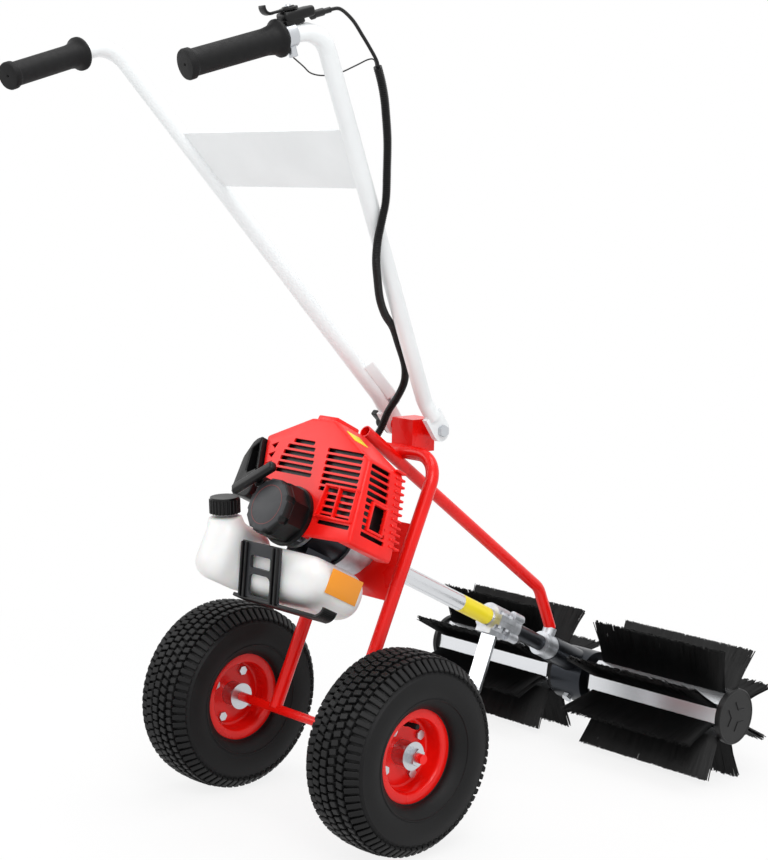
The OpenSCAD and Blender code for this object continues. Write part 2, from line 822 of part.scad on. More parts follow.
// Hex screws of the clamp, the flange and the gearbox's oil plug
module frame_screws() {
    head = clamp_bolt_d * bolt_head_share;
    depth = clamp_bolt_d * bolt_depth_share;
    color(steel) {
        at_drive() clamp_bolt_places() {
            translate([0, 0, -ear_t]) cylinder(h = 2 * ear_t, d = clamp_bolt_d);
            for (face = [0, 1]) mirror([0, 0, face]) translate([0, 0, ear_t]) hex_head(head, depth);
        }
        at_drive() flange_bolt_places() {
            drive_rod(flange_from, flange_to, clamp_bolt_d);
            translate([0, flange_to, 0]) rotate([-90, 0, 0]) hex_head(head, depth);
        }
        at_brush() rotate([plug_angle - 90, 0, 0]) translate([0, 0, gearbox_d / 2 - gearbox_wall]) {
            cylinder(h = gearbox_wall, d = plug_d);
            translate([0, 0, gearbox_wall]) hex_head(plug_d * bolt_head_share, plug_d * bolt_depth_share);
        }
    }
}

module drive_tube() {
    color(alloy) at_drive() difference() {
        drive_rod(tube_from, sleeve_from, drive_tube_d);
        drive_rod(tube_from - overrun, sleeve_from + overrun, drive_tube_d - 2 * drive_tube_wall);
    }
}

sleeve_bore = sleeve_d - 2 * drive_tube_wall;
module neck_sleeve() {
    color(steel) at_drive() difference() {
        drive_rod(sleeve_from, sleeve_to, sleeve_d);
        drive_rod(sleeve_from - overrun, sleeve_to + overrun, sleeve_bore);
    }
}

gearbox_inner = gearbox_d - 2 * gearbox_wall;
bearing_x = gearbox_w / 2 - cover_t;
shaft_end = brush_at + sqrt(pow(gearbox_inner / 2, 2) - pow(worm_gap, 2)) - gearbox_wall;
// Bushes of the drive shaft and bearings of the brush axle
module bearings() {
    tube_bore = drive_tube_d - 2 * drive_tube_wall;
    color(steel) {
        for (side = [0, 1]) mirror([side, 0, 0]) at_brush() difference() {
            cross_rod([0, 0, 0], bearing_x, bearing_x + bearing_w, bearing_d);
            cross_rod([0, 0, 0], 0, brush_end, brush_axle_d + 2 * fit);
        }
        at_drive() difference() {
            union() {
                for (share = bush_shares) {
                    from = tube_from + (sleeve_from - tube_from - bush_l) * share;
                    drive_rod(from, from + bush_l, tube_bore - 2 * fit);
                }
                drive_rod(sleeve_to - bush_l, sleeve_to, sleeve_bore - 2 * fit);
            }
            drive_rod(tube_from, sleeve_to + overrun, shaft_d + 2 * fit);
        }
        difference() {
            intersection() {
                at_drive() drive_rod(brush_at + (worm_l + gearbox_wall) / 2, brush_at + gearbox_d,
                    sleeve_bore);
                at_brush() cross_rod([0, 0, 0], -gearbox_w, gearbox_w, gearbox_inner - 2 * fit);
            }
            at_drive() drive_rod(brush_at, shaft_end + clear, shaft_d + 2 * fit);
        }
    }
}

// Drum-shaped case with a long neck
module gearbox_housing() {
    color(graphite) difference() {
        union() {
            at_brush() cross_rod([0, 0, 0], -bearing_x, bearing_x, gearbox_d);
            at_drive() drive_rod(neck_from, brush_at, neck_d);
        }
        at_brush() cross_rod([0, 0, 0], -gearbox_w, gearbox_w, gearbox_inner);
        at_drive() drive_rod(neck_from - overrun, sleeve_to, sleeve_d + 2 * fit);
        at_drive() drive_rod(neck_from, brush_at, sleeve_bore);
        at_brush() rotate([plug_angle - 90, 0, 0]) cylinder(h = gearbox_d, d = plug_d + 2 * fit);
    }
}

// Bulged side covers that hold the bearings
module gearbox_covers() {
    bulge_d = bearing_d + 4 * gearbox_wall;
    color(alloy) for (side = [0, 1]) mirror([side, 0, 0]) at_brush() difference() {
        union() {
            cross_rod([0, 0, 0], bearing_x, bearing_x + cover_t, gearbox_d);
            cross_rod([0, 0, 0], bearing_x, bearing_x + bearing_w, bulge_d);
        }
        cross_rod([0, 0, 0], 0, brush_end, bearing_d + 2 * fit);
    }
}

// Shaft with a one-start worm at its lower end: a round section whose centre winds round the axis
worm_rings = ceil(worm_steps * worm_l / worm_pitch);
module worm() {
    sides = worm_sides;
    points = [for (i = [0:worm_rings]) let (
            h = worm_l * i / worm_rings - worm_l / 2, turn = 360 * h / worm_pitch - 90)
        for (k = [0:sides - 1]) let (a = k * 360 / sides)
            [worm_depth * cos(turn) + worm_r * cos(a), worm_depth * sin(turn) + worm_r * sin(a), h]];
    polyhedron(points, capped_faces(worm_rings, sides));
}
module drive_shaft() {
    color(steel) at_drive() {
        drive_rod(drum_from + drum_w - drum_wall, brush_at - worm_l / 2 + overrun, shaft_d);
        drive_rod(brush_at + worm_l / 2 - overrun, shaft_end, shaft_d);
        translate([0, brush_at, 0]) rotate([-90, 0, 0]) worm();
    }
}

module worm_wheel() {
    mean_r = worm_gap - worm_r - clear;
    count = wheel_teeth * wheel_steps;
    outline = [for (i = [0:count - 1]) let (
            a = i * 360 / count, r = mean_r + wheel_depth * cos(wheel_teeth * (a - 90)))
        [r * cos(a), r * sin(a)]];
    color(bronze) at_drive() translate([-wheel_w / 2, brush_at, -worm_gap]) rotate([90, 0, 90])
        linear_extrude(wheel_w) difference() {
            polygon(outline);
            circle(d = brush_axle_d + 2 * fit);
        }
}

// Brush

module brush_axle() {
    reach = brush_end - cap_t / 2;
    color(steel) at_brush() cross_rod([0, 0, 0], -reach, reach, brush_axle_d);
}

core_r = core_w / 2 / cos(180 / strips);
core_bore = core_w - 2 * core_wall;
strip_root = core_r - groove_depth + fit;
spigot_l = cap_t;
module drum_slab(from, l) translate([from, 0, 0]) rotate([90, 0, 90]) linear_extrude(l) children();

// Eight-sided extrusions with a groove for each strip along the corners
module brush_cores() {
    color(alloy) for (side = [0, 1]) mirror([side, 0, 0]) at_brush() drum_slab(core_from, core_l)
        difference() {
        rotate(strip_angle) circle(r = core_r, $fn = strips);
        circle(d = core_bore);
        for (i = [0:strips - 1]) rotate(strip_angle + i * 360 / strips)
            translate([core_r - groove_depth, -strip_t / 2 - fit]) square([core_r, strip_t + 2 * fit]);
    }
}

// One strip: a backing bar along X with a row of tapered strands that lean out towards the ends
strand_pitch = strip_l / strands;
function strand_points(i) = let (
        middle = strip_l * (2 * i + 1) / (2 * strands) - strip_l / 2,
        lean = strand_flare * pow((2 * i + 1) / strands - 1, 3),
        root = strand_pitch * strand_root_share,
        tip = strand_pitch * strand_tip_share,
        top = strip_root + strip_base,
        r = brush_d / 2,
        t = strip_t / 2,
        e = strand_tip_t / 2)
    [[middle - root, -t, top], [middle + root, -t, top], [middle + root, t, top], [middle - root, t, top],
        [middle + lean - tip, -e, r], [middle + lean + tip, -e, r], [middle + lean + tip, e, r],
        [middle + lean - tip, e, r]];
function quad(a, b, c, d) = [[c, b, a], [d, c, a]];
function flat_list(lists) = [for (l = lists) for (v = l) v];
module strip() {
    h = strip_l / 2;
    t = strip_t / 2;
    bar_points = flat_list([for (z = [strip_root, strip_root + strip_base])
        [[-h, -t, z], [h, -t, z], [h, t, z], [-h, t, z]]]);
    last = strands - 1;
    function b(i) = 8 + 8 * i;
    near_edge = concat([5], flat_list([for (i = [last:-1:0]) [b(i) + 1, b(i)]]), [4]);
    far_edge = concat([7], flat_list([for (i = [0:last]) [b(i) + 3, b(i) + 2]]), [6]);
    faces = concat(
        quad(0, 3, 2, 1), quad(0, 4, 7, 3), quad(1, 2, 6, 5), [[5, 1, 0]], [[7, 3, 2]],
        [for (i = [0:len(near_edge) - 2]) [near_edge[i + 1], near_edge[i], 0]],
        [for (i = [0:len(far_edge) - 2]) [far_edge[i + 1], far_edge[i], 2]],
        quad(4, b(0), b(0) + 3, 7), quad(b(last) + 1, 5, 6, b(last) + 2),
        flat_list([for (i = [0:last - 1]) quad(b(i) + 1, b(i + 1), b(i + 1) + 3, b(i) + 2)]),
        flat_list([for (i = [0:last]) concat(
            quad(b(i), b(i) + 1, b(i) + 5, b(i) + 4), quad(b(i) + 1, b(i) + 2, b(i) + 6, b(i) + 5),
            quad(b(i) + 2, b(i) + 3, b(i) + 7, b(i) + 6), quad(b(i) + 3, b(i), b(i) + 4, b(i) + 7),
            quad(b(i) + 4, b(i) + 5, b(i) + 6, b(i) + 7))]));
    polyhedron(concat(bar_points, flat_list([for (i = [0:last]) strand_points(i)])), faces);
}

module bristles(side) {
    color(black) at_brush() translate([side * (core_from + core_to) / 2, 0, 0])
        for (i = [0:strips - 1]) rotate([strip_angle + i * 360 / strips - 90, 0, 0]) strip();
}

// Moulded caps with round pockets and a spigot in the core
module brush_end_caps() {
    pocket_d = cap_d * pocket_share;
    pocket_r = cap_d * pocket_place_share;
    color(black) for (side = [0, 1]) mirror([side, 0, 0]) at_brush() difference() {
        union() {
            cross_rod([0, 0, 0], core_to, brush_end, cap_d);
            cross_rod([0, 0, 0], core_to - spigot_l, brush_end, core_bore - 2 * fit);
        }
        cross_rod([0, 0, 0], 0, brush_end - cap_t / 2 + fit, brush_axle_d + 2 * fit);
        for (i = [0:cap_pockets - 1]) rotate([i * 360 / cap_pockets, 0, 0])
            cross_rod([0, pocket_r, 0], brush_end - pocket_depth, brush_end + overrun, pocket_d);
    }
}

module brush_collars() {
    hub_from = bearing_x + bearing_w + clear;
    color(black) for (side = [0, 1]) mirror([side, 0, 0]) at_brush() difference() {
        union() {
            cross_rod([0, 0, 0], core_from - collar_t, core_from, collar_d);
            cross_rod([0, 0, 0], core_from, core_from + spigot_l, core_bore - 2 * fit);
            cross_rod([0, 0, 0], hub_from, core_from, brush_axle_d + collar_t);
        }
        cross_rod([0, 0, 0], 0, brush_end, brush_axle_d + 2 * fit);
    }
}

// Engine

// Round case with a foot that the tank hangs on
module crankcase() {
    wall = crank_d / 2;
    foot_low = -tank_top + fit;
    color(alloy) at_drive() difference() {
        union() {
            drive_rod(crankcase_from, crankcase_to, crankcase_d);
            translate([-foot_w / 2, crankcase_from + wall, foot_low])
                cube([foot_w, crankcase_to - crankcase_from - 2 * wall, crankcase_foot_h]);
        }
        drive_rod(crankcase_from + wall, crankcase_to - wall, crankcase_d - 2 * wall);
        drive_rod(crankcase_from - overrun, crankcase_to + overrun, crank_d + 2 * fit);
    }
}

cylinder_top = crankcase_d / 2 + fin_pitch * fins + fin_pitch / 2;
port_z = cylinder_top * port_share;
module cylinder_block() {
    color(steel) at_drive() difference() {
        union() {
            cylinder(h = cylinder_top, d = bore_d + 2 * barrel_wall);
            for (i = [1:fins]) translate([0, 0, crankcase_d / 2 + i * fin_pitch])
                cylinder(h = fin_t, d = fin_d);
        }
        cylinder(h = cylinder_top - 2 * barrel_wall, d = bore_d);
        drive_rod(crankcase_from - fin_d, crankcase_to + fin_d, crankcase_d);
    }
}

module spark_plug() {
    color(white) at_drive() translate([0, 0, cylinder_top]) {
        hex_head(plug_hex_d, plug_hex_h);
        cylinder(h = plug_l, d = plug_core_d);
    }
}

module crankshaft() {
    shoe_d = drum_d - 2 * drum_wall - 2 * shoe_gap;
    shoe_to = drum_from + drum_w - drum_wall - shoe_gap;
    web_l = crank_d / 2;
    color(steel) at_drive() {
        drive_rod(flywheel_from, shoe_to, crank_d);
        drive_rod(-web_l / 2, web_l / 2, bore_d);
        drive_rod(drum_from + shoe_gap, shoe_to, shoe_d);
    }
}

// Disc with radial fan blades on its rear
module flywheel() {
    disc_t = flywheel_w * disc_share;
    blade_l = flywheel_d * blade_share;
    color(alloy) at_drive() difference() {
        union() {
            drive_rod(flywheel_from + flywheel_w - disc_t, flywheel_from + flywheel_w, flywheel_d);
            drive_rod(flywheel_from, flywheel_from + flywheel_w, crank_d * 2);
            for (i = [0:blades - 1]) rotate([0, i * 360 / blades, 0])
                translate([flywheel_d / 2 - blade_l, flywheel_from, -fin_t / 2])
                    cube([blade_l - fin_t, flywheel_w - disc_t + overrun, fin_t]);
        }
        drive_rod(flywheel_from - overrun, flywheel_from + flywheel_w + overrun, crank_d + 2 * fit);
    }
}

module clutch_drum() {
    color(steel) at_drive() difference() {
        drive_rod(drum_from, drum_from + drum_w, drum_d);
        drive_rod(drum_from - overrun, drum_from + drum_w - drum_wall, drum_d - 2 * drum_wall);
        drive_rod(drum_from, drum_from + drum_w + overrun, shaft_d + 2 * fit);
    }
}

// Bell-shaped casting from the crankcase to the engine plate, with a boss for the conduit's end
module clutch_housing() {
    front = plate_at - plate_half;
    shoulder = drum_from + drum_w + clutch_wall;
    r = clutch_d / 2;
    nose = clutch_nose_d / 2;
    outer = [[0, crankcase_to], [r, crankcase_to], [r, shoulder], [nose, shoulder + clutch_taper],
        [nose, front], [0, front]];
    inner_r = r - clutch_wall;
    color(alloy) at_drive() difference() {
        union() {
            rotate([-90, 0, 0]) rotate_extrude() polygon(outer);
            translate([-clip_x, clip_at, 0]) cylinder(h = clip_h, d = clip_d);
        }
        drive_rod(crankcase_to + clutch_wall, shoulder, 2 * inner_r);
        drive_rod(crankcase_to - overrun, shoulder, 2 * inner_r * mouth_share);
        drive_rod(tube_from, front + overrun, drive_tube_d + 2 * fit);
        drive_rod(crankcase_to, front, drive_tube_d - 2 * drive_tube_wall);
    }
}

// Shroud outline, and the same outline moved in by the wall
shroud_line = [for (s = shroud_shares) [s.x * shroud_w - shroud_left, s.y * shroud_h - shroud_low]];
function side_normal(a, b) = let (d = unit(b - a)) [-d.y, d.x];
function inset(pts, by) = let (n = len(pts)) [for (i = [0:n - 1]) let (
        m = side_normal(pts[(i + n - 1) % n], pts[i]),
        k = side_normal(pts[i], pts[(i + 1) % n]))
    pts[i] + (m + k) * by / (1 + m * k)];

// Red cover, open in front and below, with rows of cooling slots and two posts on the cylinder head
module shroud() {
    front = shroud_l - shroud_back;
    roof = shroud_h - shroud_low - shroud_wall;
    color(red) at_drive() for (y = [-post_back, post_ahead])
        translate([-post_x, y, cylinder_top + fit]) cylinder(h = roof - cylinder_top, d = post_d);
    color(red) at_drive() difference() {
        drive_slab(-shroud_back, front) polygon(shroud_line);
        drive_slab(-shroud_back + shroud_wall, front + overrun) polygon(inset(shroud_line, shroud_wall));
        translate([-open_left, -shroud_back + shroud_wall, -2 * shroud_low])
            cube([open_w, shroud_l, 2 * shroud_low]);
        translate([-shroud_w, front, 0]) rotate([front_rake, 0, 0]) translate([0, 0, -shroud_h])
            cube([2 * shroud_w, shroud_l, 3 * shroud_h]);
        drive_rod(-shroud_back - overrun, 0, starter_d - 2 * starter_lip);
        rear_slots(-slot_left, left_slot_l, left_slot_z, left_rows);
        rear_slots(slot_right, right_slot_l, right_slot_z, right_rows);
        rear_slots(low_slot_x, low_slot_l, low_slot_z, low_rows);
        for (i = [0:side_rows - 1])
            translate([side_slot_x, -shroud_back + side_slot_back, low_slot_z + i * slot_pitch])
                cube([shroud_w, side_slot_l, slot_h]);
    }
}
module rear_slots(x, l, z, rows) for (i = [0:rows - 1])
    translate([x, -shroud_back - overrun, z + i * slot_pitch]) cube([l, shroud_wall + 2 * overrun, slot_h]);

// Eight-sided recoil starter with a round face and an eyelet for the pull cord's stem
module starter_housing() {
    rear = -shroud_back - starter_l;
    face_l = starter_l * starter_face_share;
    body_d = (starter_d + starter_face_d) / 2;
    color(black) at_drive() difference() {
        union() {
            drive_rod(-shroud_back - starter_wall, -shroud_back, starter_d);
            rotate([0, 180 / starter_sides, 0]) translate([0, rear + face_l, 0]) rotate([-90, 0, 0])
                cylinder(h = starter_l - face_l, d = body_d, $fn = starter_sides);
            drive_rod(rear, rear + face_l + overrun, starter_face_d);
            translate([-eyelet_x, 0, eyelet_z]) drive_rod(rear, -shroud_back, eyelet_d);
        }
        drive_rod(rear + face_l, -shroud_back + overrun, starter_face_d - 4 * starter_wall);
        translate([-eyelet_x, 0, eyelet_z])
            drive_rod(rear - overrun, -shroud_back - starter_wall, stem_d + 2 * clear);
    }
}

// Rounded rectangle from two squares and four circles, centred
module rounded(w, h, r) {
    square([w - 2 * r, h], center = true);
    square([w, h - 2 * r], center = true);
    for (x = [-1, 1], y = [-1, 1]) translate([x * (w / 2 - r), y * (h / 2 - r)]) circle(r = r);
}

// Black box beside the shroud, with a deep recess to the rear
module air_filter_box() {
    rear = -shroud_back - filter_behind;
    color(black) at_drive() difference() {
        drive_slab(rear, rear + filter_l) difference() {
            hull() for (p = filter_line) translate(p) circle(filter_r);
            polygon(inset(shroud_line, -clear));
        }
        drive_slab(rear - overrun, rear + filter_l * (1 - filter_floor_share))
            hull() for (p = filter_hole) translate(p) circle(filter_hole_r);
    }
}

module carburettor() {
    face = fin_d / 2 + clear;
    color(alloy) at_drive() {
        drive_slab(-carb_l / 2, carb_l / 2) translate([-face - carb_reach - carb_w / 2, port_z])
            rounded(carb_w, carb_h, carb_r);
        cross_rod([0, 0, port_z], -face - carb_reach, -face, carb_port_d);
    }
}

module muffler() {
    face = fin_d / 2 + clear;
    color(steel) at_drive() {
        drive_slab(-muffler_back, muffler_l - muffler_back)
            translate([muffler_from + muffler_w / 2, muffler_h / 2]) rounded(muffler_w, muffler_h, muffler_r);
        cross_rod([0, 0, port_z], face, muffler_from, muffler_port_d);
    }
}

// Tank body as rounded blocks: the main one under the engine and a lobe with the filler
module round_block(low, high, slant, r) {
    hull() for (x = [low.x + r, high.x - r], z = [low.z + r, high.z - r]) {
        rear = low.y + r + (z > low.z + r ? 0 : slant);
        for (y = [rear, high.y - r]) translate([x, y, z]) sphere(r = r, $fn = round_fn);
    }
}
tank_low = [-tank_left, -tank_back, -tank_top - tank_h];
tank_high = [tank_w - tank_left, tank_l - tank_back, -tank_top];
lobe_low = [-lobe_left, -lobe_back, -tank_top - tank_h + lobe_lift];
lobe_high = [lobe_w - lobe_left, lobe_l - lobe_back, -lobe_top];
module at_filler() translate([-filler_x, -filler_back, -lobe_top]) rotate([neck_lean, 0, 0]) children();

module fuel_tank() {
    in = [tank_wall, tank_wall, tank_wall];
    color(white) at_drive() difference() {
        union() {
            round_block(tank_low, tank_high, tank_slant, tank_r);
            round_block(lobe_low, lobe_high, 0, tank_r);
            at_filler() translate([0, 0, -tank_r]) cylinder(h = filler_l + tank_r, d = filler_d);
        }
        round_block(tank_low + in, tank_high - in, tank_slant, tank_r - tank_wall);
        round_block(lobe_low + in, lobe_high - in, 0, tank_r - tank_wall);
        at_filler() translate([0, 0, -tank_r])
            cylinder(h = filler_l + 2 * tank_r, d = filler_d - 2 * tank_wall);
    }
}

// Ribbed cap over the filler neck
module tank_cap() {
    top = filler_l + tank_wall;
    rib_d = tank_cap_d / cap_ribs * 2;
    color(black) at_drive() at_filler() difference() {
        union() {
            translate([0, 0, top - cap_h]) cylinder(h = cap_h, d = tank_cap_d - rib_d);
            for (i = [0:cap_ribs - 1]) rotate([0, 0, i * 360 / cap_ribs])
                translate([(tank_cap_d - rib_d) / 2, 0, top - cap_h])
                    cylinder(h = cap_h - tank_wall, d = rib_d);
        }
        translate([0, 0, top - cap_h - overrun])
            cylinder(h = cap_h - tank_wall + overrun + fit, d = filler_d + 2 * fit);
    }
}

// Strap down the tank's rear with two windows, and a skid below it
module tank_guard() {
    tilt = atan(tank_slant / (tank_h - 2 * tank_r));
    window = guard_w - 2 * guard_bar;
    pane = guard_h / 2;
    color(black) at_drive() {
        translate([0, -tank_back + tank_r, -tank_top - tank_r]) rotate([tilt, 0, 0])
            translate([0, -tank_r - fit - guard_t, guard_rise - guard_h]) difference() {
                translate([-guard_w / 2, 0, 0]) cube([guard_w, guard_t, guard_h]);
                for (i = [0, 1]) translate([-window / 2, -overrun, pane * i + guard_bar / 2])
                    cube([window, guard_t + 2 * overrun, pane - guard_bar]);
            }
        translate([-skid_left, -tank_back + tank_slant, -tank_top - tank_h - fit - skid_t])
            cube([skid_l, skid_w, skid_t]);
    }
}

// Pull bar of the starter, with a stem into the housing's eyelet
module starter_handle() {
    half = [cos(handle_bar_angle), 0, sin(handle_bar_angle)] * handle_bar_l / 2;
    middle = [-eyelet_x, -handle_bar_back, eyelet_z];
    color(black) at_drive() {
        rod(middle - half, middle + half, starter_bar_d);
        rod(middle, middle + [0, handle_stem_l, 0], stem_d);
    }
}

// Handle

tongue_dir = unit(arm_knee - arm_low);
arm_points = [arm_low + tongue_dir * tongue_w, arm_knee, arm_top, grip_end - grip_dir * grip_cap_t];
module on_side(side) mirror([side < 0 ? 1 : 0, 0, 0]) children();
module arm_rod(d) bent_rod(arm_points, arm_bend_r, d);

// Bent tube, pressed flat at its lower end and drilled for the pivot bolt
module arm(side) {
    color(white) on_side(side) at_axle() difference() {
        union() {
            bent_rod(arm_points, arm_bend_r, arm_d, tube_wall);
            aim(arm_low, tongue_dir) {
                translate([-tongue_t / 2, -tongue_w / 2, 0]) cube([tongue_t, tongue_w, tongue_w]);
                translate([-tongue_t / 2, 0, 0]) rotate([0, 90, 0]) cylinder(h = tongue_t, d = tongue_w);
                translate([0, 0, tongue_w * tongue_blend_share])
                    cylinder(h = tongue_w * (1 - tongue_blend_share) + bend_lap, d = arm_d - 2 * bend_thin);
            }
        }
        cross_rod(pivot, -arm_gap, arm_gap, pivot_d + 2 * fit);
    }
}

module cross_panel() {
    up = [0, arm_top.y - arm_knee.y, arm_top.z - arm_knee.z];
    top = arm_knee + (arm_top - arm_knee) * panel_share;
    low_x = top.x - (arm_top.x - arm_knee.x) / norm(up) * panel_h;
    color(white) at_axle() difference() {
        aim([0, top.y, top.z], up) rotate([90, 0, 0]) linear_extrude(panel_sheet, center = true)
            polygon([[top.x, 0], [-top.x, 0], [-low_x, -panel_h], [low_x, -panel_h]]);
        for (side = [-1, 1]) on_side(side) arm_rod(arm_d);
    }
}

// Rubber sleeve with a flange in front and a button at its end
module grip(side) {
    color(rubber) on_side(side) at_axle() difference() {
        union() {
            rod(grip_from, grip_end, grip_d);
            rod(grip_from, grip_from + grip_dir * grip_flange_t, grip_flange_d);
        }
        rod(arm_top, grip_end - grip_dir * grip_cap_t, arm_d + 2 * fit);
    }
}

throttle_top = throttle_rise + throttle_h;
module throttle_housing() {
    color(black) at_throttle() difference() {
        union() {
            translate([-ring_w / 2, 0, 0]) rotate([0, 90, 0]) cylinder(h = ring_w, d = arm_d + 2 * ring_wall);
            translate([0, 0, -arm_d / 2 - stop_boss_l]) cylinder(h = stop_boss_l, d = stop_boss_d);
            translate([-throttle_back, -throttle_w / 2, throttle_rise - ring_wall])
                cube([throttle_l, throttle_w, throttle_h + ring_wall]);
            translate([throttle_l - throttle_back, 0, throttle_rise]) rotate([0, 90, 0])
                cylinder(h = socket_l, d = socket_d);
            translate([lever_x, 0, throttle_top]) cylinder(h = 2 * lever_t, d = lever_pin_d);
        }
        at_bar() cylinder(h = 4 * throttle_l, d = arm_d + 2 * fit, center = true);
    }
}
module at_bar() rotate([0, 90, 0]) children();

module throttle_lever() {
    color(black) at_throttle() translate([lever_x, 0, throttle_top + clear]) difference() {
        union() {
            cylinder(h = lever_t, d = throttle_w * lever_disc_share);
            translate([-lever_l, -lever_w / 2, 0]) cube([lever_l, lever_w, lever_t]);
            translate([-lever_l, -lever_w / 2, 0]) cube([lever_t, lever_w, lever_tab]);
        }
        translate([0, 0, -overrun]) cylinder(h = lever_tab, d = lever_pin_d + 2 * fit);
    }
}

// Cables

// Smooth curve through the route's points, and points on it at even steps
function curve_at(p, i, f) = let (last = len(p) - 1,
        a = p[max(i - 1, 0)], b = p[i], c = p[min(i + 1, last)], d = p[min(i + 2, last)])
    b + 0.5 * f * ((c - a) + f * ((2 * a - 5 * b + 4 * c - d) + f * (3 * (b - c) + d - a)));
function dense(p) = [for (i = [0:len(p) - 2]) for (j = [0:curve_steps - 1]) curve_at(p, i, j / curve_steps),
    p[len(p) - 1]];
function lengths(c) = [for (i = 0, s = 0; i < len(c);
    i = i + 1, s = s + (i < len(c) ? norm(c[i] - c[i - 1]) : 0)) s];
function point_at(c, l, s) = let (k = min(len([for (v = l) if (v <= s) 1]), len(c) - 1))
    c[k - 1] + (c[k] - c[k - 1]) * (s - l[k - 1]) / (l[k] - l[k - 1]);
function even_points(route, n) = let (c = dense(route), l = lengths(c), whole = l[len(l) - 1])
    [for (i = [0:n]) point_at(c, l, whole * i / n)];

// Rings of points round a path, turned as little as the path allows
function tangents(p) = let (last = len(p) - 1)
    [for (i = [0:last]) unit(p[min(i + 1, last)] - p[max(i - 1, 0)])];
function normals(t) = [for (i = 0, n = unit(cross(t[0], [0, 0, 1])); i < len(t);
    i = i + 1, n = i < len(t) ? unit(n - t[i] * (n * t[i])) : n) n];
function rings(p, radii, sides) = let (t = tangents(p), n = normals(t))
    [for (i = [0:len(p) - 1]) for (k = [0:sides - 1]) let (a = k * 360 / sides)
        p[i] + radii[i] * (cos(a) * n[i] + sin(a) * cross(t[i], n[i]))];
function wall_faces(from, count, sides, inward) = [for (i = [0:count - 2]) for (k = [0:sides - 1]) let (
        a = from + i * sides + k, b = from + i * sides + (k + 1) % sides)
    each inward ? [[a, b, b + sides], [a, b + sides, a + sides]] :
        [[b + sides, b, a], [a + sides, b + sides, a]]];

function capped_faces(count, sides) = let (end = count * sides) concat(wall_faces(0, count + 1, sides, false),
    [for (k = [1:sides - 2]) [0, k, k + 1]], [for (k = [1:sides - 2]) [end, end + k + 1, end + k]]);

module cable(route, d, count) {
    p = even_points(route, count);
    polyhedron(rings(p, [for (v = p) d / 2], cable_sides), capped_faces(count, cable_sides));
}

module control_cables() color(black) at_axle() {
    cable(cable_route, cable_d, cable_rings);
    cable(wire_route, wire_d, cable_rings);
}

// Ribbed hose: crests and grooves outside, a plain bore inside, ends plain
module cable_conduit() {
    n = 2 * conduit_ribs;
    sides = conduit_sides;
    outer_p = even_points(conduit_route, n);
    inner_p = [for (i = [0:4:n]) outer_p[i]];
    crest = conduit_d / 2;
    outer_r = [for (i = [0:n]) i % 2 == 0 || i < 4 || i > n - 4 ? crest : crest - rib_depth];
    inner_r = [for (v = inner_p) crest - conduit_wall];
    first_in = (n + 1) * sides;
    last_out = n * sides;
    last_in = first_in + (len(inner_p) - 1) * sides;
    ends = [for (k = [0:sides - 1]) let (j = (k + 1) % sides) each [
        [k, j, first_in + j], [k, first_in + j, first_in + k],
        [last_in + j, last_out + j, last_out + k], [last_in + k, last_in + j, last_out + k]]];
    color(black) at_axle() polyhedron(
        concat(rings(outer_p, outer_r, sides), rings(inner_p, inner_r, sides)),
        concat(wall_faces(0, n + 1, sides, false), wall_faces(first_in, len(inner_p), sides, true), ends));
}

frame_tube();
engine_plate();
brace_tube();
brace_clamp();
pivot_bracket();
pivot_bolt();
axle();
axle_nuts();
support_leg();
tube_clamp();
neck_flange();
frame_screws();
drive_tube();
bearings();
neck_sleeve();
gearbox_housing();
gearbox_covers();
clutch_housing();
crankcase();
cylinder_block();  // cylinder
shroud();
starter_housing();
air_filter_box();
carburettor();
muffler();
spark_plug();
fuel_tank();
tank_guard();
drive_shaft();
clutch_drum();
crankshaft();
flywheel();
worm_wheel();
brush_axle();
brush_cores();
bristles(-1);  // bristles_left
bristles(1);  // bristles_right
brush_end_caps();
brush_collars();
starter_handle();
tank_cap();
arm(-1);  // arm_left
arm(1);  // arm_right
cross_panel();
grip(-1);  // grip_left
grip(1);  // grip_right
throttle_housing();
throttle_lever();
control_cables();
cable_conduit();
lock_knob();
tyre(-1);  // tyre_left
tyre(1);  // tyre_right
rim(-1);  // rim_left
rim(1);  // rim_right
hub(-1);  // hub_left
hub(1);  // hub_right
rim_bolts(-1);  // rim_bolts_left
rim_bolts(1);  // rim_bolts_right
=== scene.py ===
# Looks of a walk-behind petrol brush sweeper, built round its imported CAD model. Metres, in the CAD's frame:
# X to the right wheel, Y forward to the brush, Z up from the ground. Outlines and moves of single pieces are
# in millimetres, the sizes of blocks in metres.
import math
import random

import bpy
from mathutils import Matrix, Vector


